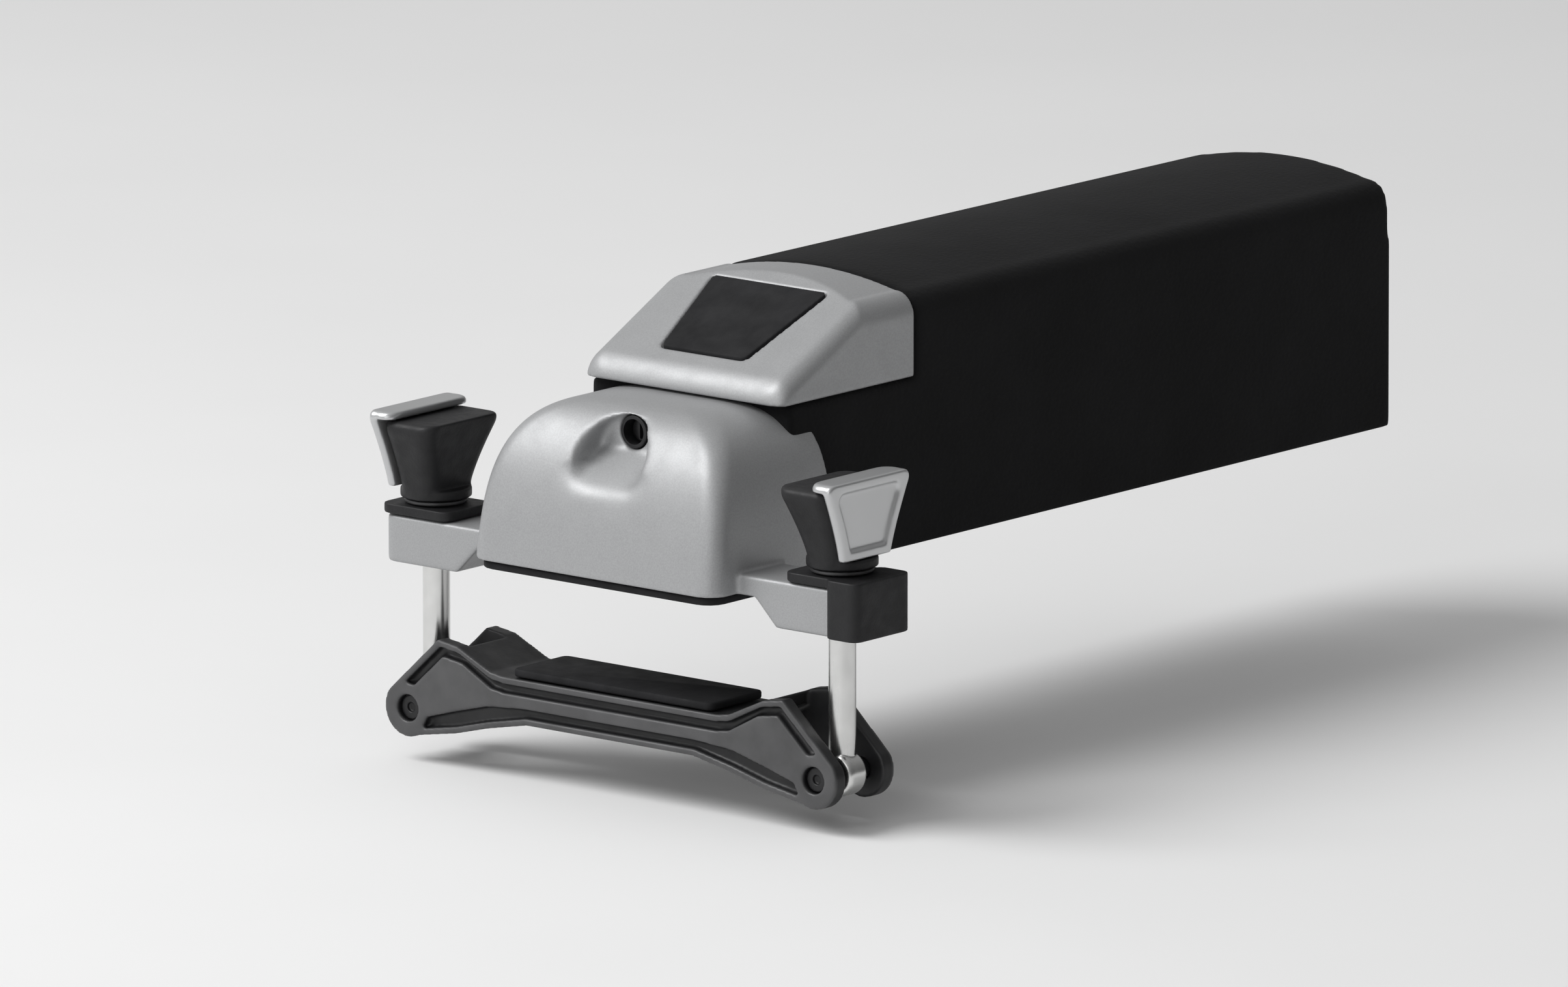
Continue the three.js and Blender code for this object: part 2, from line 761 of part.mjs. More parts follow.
function lowerArm() {
  const inner = armHalfThickness - armPlate;
  let body = armPlateSolid(-armHalfThickness, -inner, -1)
    .add(armPlateSolid(inner, armHalfThickness, 1));
  const web = prismX(armOutline(0), -inner - spill, inner + spill)
    .intersect(block(-through, through, -armWebHalf, armWebHalf, -through, through));
  const under = prismX(armOutline(0), -inner, inner).translate([0, 0, -armWebThickness]);
  body = body.add(web.subtract(under));
  for (let i = 0; i < armRibs; i += 1) {
    const y = (i - (armRibs - 1) / 2) * armRibPitch;
    const rib = block(-through, through, y - armRibThickness / 2, y + armRibThickness / 2,
      -through, through);
    body = body.add(rib.intersect(prismX(armOutline(rimWidth / 2), -inner - spill, inner + spill)));
  }
  for (const side of [-1, 1]) {
    body = body.subtract(prismX(disc(side * boltHalfSpan, lobeZ, pinRadius + pinClearance),
      -through, through));
    body = body.subtract(prismX(disc(side * boltHalfSpan, lobeZ, pinHeadRadius + pinClearance),
      -through, pinHeadX + restGap));
  }
  return body;
}

function armRubber() {
  const low = armTopZ + restGap;
  const half = armHalfThickness - armRubberMargin;
  return roundedBlock(-half, half, -armRubberHalf, armRubberHalf, low,
    low + armRubberThickness, armRubberCornerRadius);
}

function eyeBolt(side) {
  const y = side * boltHalfSpan;
  const top = knobTopZ - knobBoreTop - boltTipGap;
  const shank = prismZ(disc(0, y, boltRadius), lobeZ + (pinRadius + eyeRadius) / 2, top);
  const eye = prismX(disc(y, lobeZ, eyeRadius), -eyeHalfThickness, eyeHalfThickness);
  const bore = prismX(disc(y, lobeZ, pinRadius + pinClearance), -through, through);
  return shank.add(eye).subtract(bore);
}

function armPin(side) {
  const y = side * boltHalfSpan;
  const front = pinHeadX - pinHeadThickness;
  const shank = prismX(disc(y, lobeZ, pinRadius), front, armHalfThickness + restGap + pinTail);
  const head = prismX(disc(y, lobeZ, pinHeadRadius), front, pinHeadX);
  const dimple = prismX(disc(y, lobeZ, pinRadius / 2, smallSteps), -through,
    front + pinDimpleDepth);
  return shank.add(head).subtract(dimple);
}

function pinClip(side) {
  const y = side * boltHalfSpan;
  const x = armHalfThickness + restGap;
  const ring = prismX(disc(y, lobeZ, clipRadius), x, x + clipThickness);
  const bore = prismX(disc(y, lobeZ, pinRadius + clipGap), -through, through);
  const mouth = block(-through, through, y - clipMouth / 2, y + clipMouth / 2, -through, lobeZ);
  return ring.subtract(bore).subtract(mouth);
}

// Knob seat: a plate on the flange, at the front end with a boot over the flange's end
function knobSeat(side) {
  const tip = flangeTipY + restGap;
  const half = flangeHalfThickness + knobSeatOverhang;
  const innerY = boltHalfSpan - flangeEnd - 2 * knobSeatOverhang;
  const top = seatOnFlangeZ + knobSeatThickness;
  const plate = roundedBlock(-half, half, innerY, tip, seatOnFlangeZ, top, knobSeatCornerRadius);
  const hole = prismZ(disc(0, boltHalfSpan, boltRadius + boltHoleClearance), -through, through);
  if (side > 0) {
    return plate.subtract(hole);
  }
  const bootHalf = flangeHalfThickness + restGap + bootWall;
  const boot = roundedBlock(-bootHalf, bootHalf, tip - bootReach, tip + knobSeatSkirt,
    -flangeDrop, top, knobSeatSkirt);
  const clear = roundedBlock(-flangeHalfThickness - restGap, flangeHalfThickness + restGap,
    0, tip, -through, seatOnFlangeZ, flangeCornerRadius);
  return plate.add(boot.subtract(clear)).subtract(hole).rotate([0, 0, 180]);
}

function washer(side) {
  const y = side * boltHalfSpan;
  return prismZ(disc(0, y, washerRadius), washerZ, washerZ + washerThickness)
    .subtract(prismZ(disc(0, y, boltRadius + boltHoleClearance), -through, through));
}

// Knob outline at a height share s of the head, between the inner and outer faces
function knobRing(z, s, grow, fromY, toY, topZ) {
  const rise = Math.max(z - (topZ - knobShoulder), 0);
  const round = knobShoulder - Math.sqrt(Math.max(knobShoulder ** 2 - rise ** 2, 0));
  const half = knobHeadLowHalf + (knobHeadHighHalf - knobHeadLowHalf) * s ** knobFlare + grow
    - round;
  const radius = Math.min(knobHeadCorner, (toY - fromY) * knobCornerShare);
  return roundedRing(-half, half, boltHalfSpan + fromY, boltHalfSpan + toY, radius, 3)
    .map(([x, y]) => [x, y, z]);
}

function knobLoft(grow, inner, outer, z0, z1) {
  const rings = [];
  const steps = 6;
  const shoulderZ = z1 - knobShoulder;
  const levels = [];
  for (let i = 0; i < steps; i += 1) {
    levels.push(z0 + ((shoulderZ - z0) * i) / steps);
    levels.push(shoulderZ + (z1 - shoulderZ) * Math.sin((0.5 * Math.PI * i) / steps));
  }
  for (const z of [...levels, z1].filter((level) => level >= z0).sort((a, b) => a - b)) {
    const s = Math.min(Math.max((z - knobZ - knobFootHeight) / (knobHeight - knobFootHeight), 0), 1);
    rings.push(knobRing(z, s, grow, inner(s), outer(s), z1));
  }
  return loft(rings);
}

const innerFace = (s) => -knobInnerLow - (knobInnerHigh - knobInnerLow) * s ** knobFlare;
const outerFace = (s) => knobOuterLow + (knobOuterHigh - knobOuterLow) * s;

function knobCore(side) {
  const foot = prismZ(disc(0, boltHalfSpan, knobFootRadius), knobZ, knobZ + knobFootHeight);
  const head = knobLoft(0, innerFace, outerFace, knobZ + knobFootHeight / 2,
    knobTopZ - coverLip - restGap);
  const bore = prismZ(disc(0, boltHalfSpan, boltRadius + threadClearance), -through,
    knobTopZ - knobBoreTop);
  const pocket = prismZ(disc(0, boltHalfSpan, nutRadius + restGap, 6), -through,
    knobZ + nutHeight + restGap);
  const body = foot.add(head).subtract(bore).subtract(pocket);
  return side > 0 ? body : body.rotate([0, 0, 180]);
}

function knobNut(side) {
  const body = prismZ(disc(0, boltHalfSpan, nutRadius, 6), knobZ, knobZ + nutHeight)
    .subtract(prismZ(disc(0, boltHalfSpan, boltRadius + threadClearance), -through, through));
  return side > 0 ? body : body.rotate([0, 0, 180]);
}

// Silver cover: a tapered plate on the knob's outer face with a lip over its top
function knobCover(side) {
  const start = (s) => outerFace(s) + restGap;
  const finish = (s) => outerFace(s) + restGap + coverThickness;
  const foot = knobZ + knobFootHeight + restGap;
  const plate = knobLoft(coverOverhang, start, finish, foot, knobTopZ);
  const edge = () => coverLipInset - knobInnerHigh;
  const lip = knobLoft(coverOverhang, edge, finish, knobTopZ - coverLip, knobTopZ);
  const dish = knobLoft(-coverRim, (s) => finish(s) - coverDish, (s) => finish(s) + spill,
    foot + coverRim, knobTopZ - coverRim);
  const body = plate.add(lip).subtract(dish);
  return side > 0 ? body : body.rotate([0, 0, 180]);
}

// Finishes
const finishes = {
  silver: { color: 0xb9bbbd, roughness: 0.42, metalness: 0.25 },
  black: { color: 0x1d1e20, roughness: 0.62, metalness: 0 },
  rubber: { color: 0x141415, roughness: 0.88, metalness: 0 },
  foam: { color: 0x18181a, roughness: 0.95, metalness: 0 },
  steel: { color: 0xb4b6b8, roughness: 0.3, metalness: 1 },
  cast: { color: 0x232426, roughness: 0.55, metalness: 0.2 },
  dark: { color: 0x2a2b2d, roughness: 0.4, metalness: 1 },
};

const carrier = new THREE.Group();

function place(name, body, finish) {
  const mesh = new THREE.Mesh(geometryOf(body), new THREE.MeshStandardMaterial(finishes[finish]));
  mesh.name = name;
  carrier.add(mesh);
}

place('dome_housing', domeHousing(), 'silver');
place('seat_rubber', seatRubber(), 'rubber');
place('bridge_plate', bridgePlate(), 'steel');
place('lock_barrel', lockBarrel(), 'steel');
place('lock_core', lockCore(), 'black');
place('lock_tongue', lockTongue(), 'steel');
place('pad_tray', padTray(), 'black');
place('pad_body', padBody(), 'foam');
place('end_cap', endCap(), 'silver');
place('cap_inset', capInset(), 'rubber');
for (const [i, end] of ['front', 'rear'].entries()) {
  place(`cap_screw_${end}`, capScrew(capScrewPlaces()[i]), 'steel');
  place(`tray_screw_${end}`, trayScrew(trayScrewPlaces()[i]), 'steel');
}
place('lower_arm', lowerArm(), 'cast');
place('arm_rubber', armRubber(), 'rubber');
for (const [end, side] of [['front', -1], ['rear', 1]]) {
  place(`eye_bolt_${end}`, eyeBolt(side), 'steel');
  place(`arm_pin_${end}`, armPin(side), 'dark');
  place(`pin_clip_${end}`, pinClip(side), 'dark');
  place(`knob_seat_${end}`, knobSeat(side), 'black');
  place(`knob_washer_${end}`, washer(side), 'steel');
  place(`knob_core_${end}`, knobCore(side), 'black');
  place(`knob_nut_${end}`, knobNut(side), 'steel');
  place(`knob_cover_${end}`, knobCover(side), 'silver');
}

export default carrier;
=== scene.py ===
# Surfboard rack pad, dressed for its picture
# Sizes are in millimetres in the frame's own axes, and each mesh is scaled to metres as it is made.
# Lamp sizes and the camera's reach are in metres, and the finishes' patterns count by the metre.
import math

import bmesh
import bpy
from mathutils import Matrix, Vector


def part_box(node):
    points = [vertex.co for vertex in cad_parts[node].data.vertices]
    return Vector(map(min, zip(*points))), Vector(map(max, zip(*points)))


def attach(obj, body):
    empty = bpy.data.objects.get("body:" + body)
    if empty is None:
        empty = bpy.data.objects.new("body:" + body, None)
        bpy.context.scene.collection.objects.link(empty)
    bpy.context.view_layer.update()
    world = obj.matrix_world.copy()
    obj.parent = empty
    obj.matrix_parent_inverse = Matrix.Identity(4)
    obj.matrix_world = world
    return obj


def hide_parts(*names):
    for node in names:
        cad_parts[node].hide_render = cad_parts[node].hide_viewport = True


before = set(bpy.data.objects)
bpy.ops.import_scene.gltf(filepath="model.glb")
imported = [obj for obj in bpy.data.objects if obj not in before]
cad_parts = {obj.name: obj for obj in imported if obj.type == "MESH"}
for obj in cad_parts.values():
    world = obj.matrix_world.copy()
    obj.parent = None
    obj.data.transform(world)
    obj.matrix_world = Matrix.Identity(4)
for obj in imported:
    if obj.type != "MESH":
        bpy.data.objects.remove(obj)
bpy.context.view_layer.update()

MM = 0.001


def span(node):
    """Lowest and highest corner of a frame node, in millimetres."""
    low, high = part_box(node)
    return Vector(low) / MM, Vector(high) / MM


# Places read from the frame
HOUSING_LOW, HOUSING_HIGH = span("dome_housing")
PAD_LOW, PAD_HIGH = span("pad_body")
CAP_LOW, CAP_HIGH = span("end_cap")
TRAY_LOW, TRAY_HIGH = span("pad_tray")
ARM_LOW, ARM_HIGH = span("lower_arm")
BARREL_LOW, BARREL_HIGH = span("lock_barrel")
BRIDGE_LOW, BRIDGE_HIGH = span("bridge_plate")
BOLT_HIGH = span("eye_bolt_rear")[1]
PIN_LOW, PIN_HIGH = span("arm_pin_rear")
ARM_RUBBER_LOW = span("arm_rubber")[0]
SEAT_LOW, SEAT_HIGH = span("knob_seat_rear")
BOOT_LOW, BOOT_HIGH = span("knob_seat_front")
CORE_LOW, CORE_HIGH = span("knob_core_rear")
COVER_HIGH = span("knob_cover_rear")[1]
NUT_HIGH = span("knob_nut_rear")[1]
WASHER_LOW, WASHER_HIGH = span("knob_washer_rear")

# Room round fitted pieces, and places worked out from the frame
GAP = 0.3
BOLT_HOLE_GAP = 0.5
BOLT_Y = (WASHER_LOW.y + WASHER_HIGH.y) / 2
LOCK_Z = (BARREL_LOW.z + BARREL_HIGH.z) / 2
LOBE_Z = (PIN_LOW.z + PIN_HIGH.z) / 2
ARM_TOP_Z = ARM_RUBBER_LOW.z - GAP

# Cutting tools end this far out, beyond every piece, or run past a face by one of the lesser two,
# and parts of a piece that are joined overlap by as much
TOOL_END = 30
OVERRUN = 5
SPILL = 1

# Domed housing
DOME_HALF = 38.2
DOME_FOOT_Z = 2.1
DOME_WALL = 3
FACE_RUN = 22
FACE_LEAN = 0.08
FACE_FULLNESS = 2.6
SIDE_TAPER = 0.05
SIDE_RUN = 33
SIDE_FULLNESS = 3.9
DOME_CORNER = 5
DOME_CORNER_SHARE = 0.8
FLANGE_HALF = 8.5
FLANGE_TOP_Z = 7
FLANGE_CORNER = 4
FLANGE_DROP_Y = 43
SCOOP_RADIUS = 10.3
SCOOP_FLOOR_Z = LOCK_Z - 4.4
SCOOP_BROW = 0.4
SCOOP_SLOPE = 0.65
BARREL_RADIUS = 4
BARREL_WALL = 0.9
BARREL_EDGE = 0.3
BOSS_WALL = 3
BOSS_DEPTH = 8
BROW_DEPTH = 3
BROW_DROP = 6
TONGUE_HALF = 13
TONGUE_SILL_Z = 1

# Where the scoop's skin is softened, and how fast that fades towards the hole and the sides
SCOOP_ROUNDS = 45
SCOOP_SOFT = 5
SCOOP_DROP = 26
HOLE_RIM = 0.9
HOLE_FADE = 1.5
SIDE_FADE = 2
LIP_ROUNDS = 120
LIP_BELOW_HOLE = 3
LIP_FADE = 3

# End cap and its inset
NOSE_RADIUS = 8.5
NOSE_START = 0.08
NOSE_RING_STEP = 0.5
FACET_SLOPE = 0.504
FACET_LOW_X = 20.4
FACET_LOW_Z = 48.5
CAP_SIDE_RADIUS = 4.5
CAP_CORNER = 3.5
CAP_WALL = 2.8
CROWN = 4.4
TOP_EDGE_RADIUS = 6
TOP_EDGE_SWEEP = 0.42 * math.pi
INSET_LOW_X = 24.2
INSET_HIGH_X = 49.4
INSET_LOW_HALF = 12.9
INSET_HIGH_HALF = 17.7
INSET_THICKNESS = 1.6
INSET_SINK = 1.3
INSET_GAP = 0.35
INSET_CORNER = 1.4
POCKET_CORNER = 1.6
POCKET_TOP = 9

# Foam block under the cap and its far end
FOAM_GAP = 0.5
FOAM_UNDERLAP = 0.8
FOAM_STEP = 1.5
FOAM_JOIN = 2
FOAM_LEAN = 1.5
FOAM_CUT_LOW_Z = -5
FOAM_CUT_HIGH_Z = 75

# Lower arm
ARM_PLATE = 4
ARM_DEPTH = 10.6
FLAT_HALF = 33
KNEE_LENGTH = 4
KNEE_RISE = 0.6
SHOULDER_Y = 53.5
SHOULDER_Z = -21
SHOULDER_LENGTH = 6
SHOULDER_DIP = 0.9
SHOULDER_SHIFT = 0.4
LOBE_RADIUS = 7
LOBE_START = 0.62
LOBE_SWEEP = 2.66
BELLY_Y = (48, 38, 26)
BELLY_DROP = (4.2, 1.6)
BELLY_SAG = 0.3
RIM_WIDTH = 1.6
GROOVE_WIDTH = 2.3
GROOVE_DEPTH = 2.2
GROOVE_SWELL = 1.5
# Depths below the arm's outer face where the painted shade in its grooves begins and where it is
# full
PAINTED_SHADE_START_DEPTH = 0.3
PAINTED_SHADE_FULL_DEPTH = 1.1
PIN_BOSS_RADIUS = 6
WEB_THICKNESS = 3.2
WEB_HALF = 47
RIB_HALF = 1.5
RIB_PLACES = (-26, 0, 26)

# Bolts, pins and knobs
BOLT_RADIUS = 3.3
EYE_RADIUS = 5.4
EYE_HALF = 3.5
EYE_EDGE = 1.4
PIN_RADIUS = 2.3
PIN_HEAD_RADIUS = 3
PIN_HEAD_THICKNESS = 1.2
PIN_DIMPLE_DEPTH = 0.8
FOOT_RADIUS = 8.6
FOOT_HEIGHT = 2.4
NUT_RADIUS = 5.2
BORE_TOP = 5
KNOB_LOW_HALF = 8.5
KNOB_HIGH_HALF = 15.8
INNER_LOW = 5.5
INNER_HIGH = 10.5
OUTER_LOW = 5.3
OUTER_HIGH = 5.9
KNOB_CORNER = 3.5
KNOB_CORNER_SHARE = 0.45
KNOB_FLARE = 1.25
KNOB_SHOULDER = 3
COVER_THICKNESS = 2.4
COVER_LIP = 2
COVER_RIM = 2.4
COVER_DISH = 0.9
COVER_OVERHANG = 0.4
COVER_LIP_INSET = 12
WASHER_RADIUS = 7.6
WASHER_EDGE = 0.35
SEAT_CORNER = 3
BOOT_CORNER = 2.4
BOOT_REACH = 7.6

# Skin of the moulded and cast pieces: size of its cells, and rounds of smoothing
HOUSING_SKIN = (0.55, 9)
CAP_SKIN = (0.45, 5)
INSET_SKIN = (0.3, 3)
FOAM_SKIN = (1.0, 14)
ARM_SKIN = (0.45, 3)
BOLT_SKIN = (0.2, 8)
PIN_SKIN = (0.22, 2)
CORE_SKIN = (0.3, 12)
COVER_SKIN = (0.25, 30)
SEAT_SKIN = (0.33, 3)
BOOT_SKIN = (0.33, 4)

# Steps of round shapes, the distance at which points merge, and angles in degrees
ROUND_SIDES = 64
MERGE_DISTANCE = 0.0005
COPY_MERGE_DISTANCE = 0.001
SHARP_ANGLE = 35
EASED_ANGLE = 40
FLAT_ANGLE = 0.5

# A noise stays mostly between these two values
NOISE_LOW = 0.3
NOISE_HIGH = 0.7


# Mesh building

def piece_from(name, bm):
    """A bmesh in millimetres becomes an object in metres, with its faces outwards."""
    bmesh.ops.recalc_face_normals(bm, faces=bm.faces)
    bmesh.ops.scale(bm, vec=(MM, MM, MM), verts=bm.verts)
    mesh = bpy.data.meshes.new(name)
    bm.to_mesh(mesh)
    bm.free()
    piece = bpy.data.objects.new(name, mesh)
    bpy.context.scene.collection.objects.link(piece)
    return piece


def loop_of(bm, points):
    """A closed loop of edges through the points, each vertex numbered by its place in the loop."""
    place = bm.verts.layers.int.get("place") or bm.verts.layers.int.new("place")
    verts = [bm.verts.new(p) for p in points]
    for i, v in enumerate(verts):
        v[place] = i
    return [bm.edges.new((verts[i - 1], verts[i])) for i in range(len(verts))]


def fill(bm, edges):
    """A face across a closed loop of edges."""
    bmesh.ops.contextual_create(bm, geom=edges)


def skin(rings):
    """The first ring is extruded from ring to ring, and both ends are closed."""
    bm = bmesh.new()
    edges = loop_of(bm, rings[0])
    place = bm.verts.layers.int["place"]
    fill(bm, edges)
    for ring in rings[1:]:
        made = bmesh.ops.extrude_edge_only(bm, edges=edges)["geom"]
        fresh = {v for v in made if isinstance(v, bmesh.types.BMVert)}
        for v in fresh:
            v.co = ring[v[place]]
        edges = [e for e in made if isinstance(e, bmesh.types.BMEdge) and set(e.verts) <= fresh]
    fill(bm, edges)
    return bm


def prism(axis, points, start, end):
    """A flat outline, given on the two other axes in order, carried along an axis."""
    def at(place):
        if axis == "x":
            return [(place, a, b) for a, b in points]
        if axis == "y":
            return [(a, place, b) for a, b in points]
        return [(a, b, place) for a, b in points]

    return skin([at(start), at(end)])


def block(x0, x1, y0, y1, z0, z1):
    """A box between two corners."""
    bm = bmesh.new()
    bmesh.ops.create_cube(bm, size=1)
    bmesh.ops.scale(bm, vec=(x1 - x0, y1 - y0, z1 - z0), verts=bm.verts)
    bmesh.ops.translate(bm, vec=((x0 + x1) / 2, (y0 + y1) / 2, (z0 + z1) / 2), verts=bm.verts)
    return bm


TURNS = {"x": Matrix.Rotation(math.pi / 2, 3, "Y"), "z": Matrix.Identity(3)}


def drum(axis, centre, radius, start, end):
    """A round rod along an axis through centre, which holds the two other coordinates."""
    bm = bmesh.new()
    bmesh.ops.create_cone(bm, cap_ends=True, segments=ROUND_SIDES, radius1=radius, radius2=radius,
                          depth=end - start)
    bmesh.ops.rotate(bm, cent=(0, 0, 0), matrix=TURNS[axis], verts=bm.verts)
    middle = (start + end) / 2
    place = (middle, *centre) if axis == "x" else (*centre, middle)
    bmesh.ops.translate(bm, vec=place, verts=bm.verts)
    return bm


def turned(profile, axis, centre):
    """A closed profile of (radius, height) points spun round an axis through centre."""
    bm = bmesh.new()
    edges = loop_of(bm, [(r, 0, h) for r, h in profile])
    bmesh.ops.spin(bm, geom=edges + list(bm.verts), cent=(0, 0, 0), axis=(0, 0, 1), dvec=(0, 0, 0),
                   angle=2 * math.pi, steps=ROUND_SIDES, use_merge=True, use_duplicate=False)
    bmesh.ops.remove_doubles(bm, verts=bm.verts, dist=MERGE_DISTANCE)
    bmesh.ops.rotate(bm, cent=(0, 0, 0), matrix=TURNS[axis], verts=bm.verts)
    place = (0, *centre) if axis == "x" else (*centre, 0)
    bmesh.ops.translate(bm, vec=place, verts=bm.verts)
    return bm


def rounded_profile(inner, outer, low, high, edge):
    """A ring's section from an inner to an outer radius, with rounded outer edges."""
    steps = 3
    centre = outer - edge
    points = [(inner, low), (centre, low)]
    for i in range(1, steps + 1):
        angle = 0.5 * math.pi * i / steps
        points.append((centre + edge * math.sin(angle), low + edge - edge * math.cos(angle)))
    for i in range(steps):
        angle = 0.5 * math.pi * i / steps
        points.append((centre + edge * math.cos(angle), high - edge + edge * math.sin(angle)))
    return points + [(centre, high), (inner, high)]


def rounded_rectangle(a0, a1, b0, b1, radius, steps=8):
    """Outline of a rectangle whose corners are rounded in a few steps each."""
    corners = [(a0 + radius, b0 + radius, math.pi), (a1 - radius, b0 + radius, 1.5 * math.pi),
               (a1 - radius, b1 - radius, 0), (a0 + radius, b1 - radius, 0.5 * math.pi)]
    points = []
    for a, b, start in corners:
        for i in range(steps + 1):
            angle = start + 0.5 * math.pi * i / steps
            points.append((a + radius * math.cos(angle), b + radius * math.sin(angle)))
    return points


def circle(a, b, radius, sides=ROUND_SIDES):
    """Points round a centre, the first one along the first axis."""
    return [(a + radius * math.cos(2 * math.pi * i / sides),
             b + radius * math.sin(2 * math.pi * i / sides)) for i in range(sides)]


def baked(piece):
    """The piece's modifiers become its mesh, and its tools are thrown away."""
    tools = [m.object for m in piece.modifiers if m.type == "BOOLEAN"]
    graph = bpy.context.evaluated_depsgraph_get()
    mesh = bpy.data.meshes.new_from_object(piece.evaluated_get(graph))
    piece.modifiers.clear()
    old = piece.data
    piece.data = mesh
    mesh.name = piece.name
    bpy.data.meshes.remove(old)
    for tool in tools:
        bpy.data.objects.remove(tool)
    return piece


def worked(piece, *steps):
    """The piece after its steps, each a boolean operation and the bmesh that it works with."""
    for i, (operation, bm) in enumerate(steps):
        tool = piece_from(f"{piece.name}_tool_{i}", bm)
        step = piece.modifiers.new(f"step_{i}", "BOOLEAN")
        step.operation = operation
        step.solver = "MANIFOLD"
        step.object = tool
    return baked(piece)


def moulded(piece, voxel, rounds):
    """A fine even skin whose edges are rounded, as on a moulded or cast piece."""
    net = piece.modifiers.new("net", "REMESH")
    net.mode = "VOXEL"
    net.voxel_size = voxel * MM
    net.use_smooth_shade = True
    soft = piece.modifiers.new("soft", "SMOOTH")
    soft.factor = 0.5
    soft.iterations = rounds
    return baked(piece)


def softened(piece, weight, rounds):
    """The piece's skin smoothed further, by as much as the weight of each point says."""
    group = piece.vertex_groups.new(name="soft")
    for v in piece.data.vertices:
        share = weight(v.co / MM)
        if share > 0:
            group.add([v.index], min(share, 1), "REPLACE")
    soft = piece.modifiers.new("soft", "SMOOTH")
    soft.factor = 0.5
    soft.iterations = rounds
    soft.vertex_group = group.name
    baked(piece)
    piece.vertex_groups.clear()
    return piece


def shade(piece):
    """Smooth shading that leaves the sharp edges crisp."""
    mesh = piece.data
    for face in mesh.polygons:
        face.use_smooth = True
    mesh.set_sharp_from_angle(angle=math.radians(SHARP_ANGLE))


def add(piece, body, material, slot, *nodes):
    """The piece rides on its body, stands for its frame nodes and gets its finish."""
    piece.data.materials.clear()
    piece.data.materials.append(material)
    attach(piece, body)
    if nodes:
        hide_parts(*nodes)
    return piece


def eased_copy(node, width):
    """A copy of a frame node's mesh, merged, with its edges broken by a small bevel."""
    bm = bmesh.new()
    bm.from_mesh(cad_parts[node].data)
    bmesh.ops.scale(bm, vec=(1 / MM, 1 / MM, 1 / MM), verts=bm.verts)
    bmesh.ops.remove_doubles(bm, verts=bm.verts, dist=COPY_MERGE_DISTANCE)
    bmesh.ops.dissolve_limit(bm, angle_limit=math.radians(FLAT_ANGLE), verts=bm.verts,
                             edges=bm.edges)
    sharp = [e for e in bm.edges
             if len(e.link_faces) == 2 and e.calc_face_angle(0) > math.radians(EASED_ANGLE)]
    bmesh.ops.bevel(bm, geom=sharp, offset=width, affect="EDGES", segments=2, profile=0.5,
                    material=-1, clamp_overlap=True)
    return bm


# Finishes

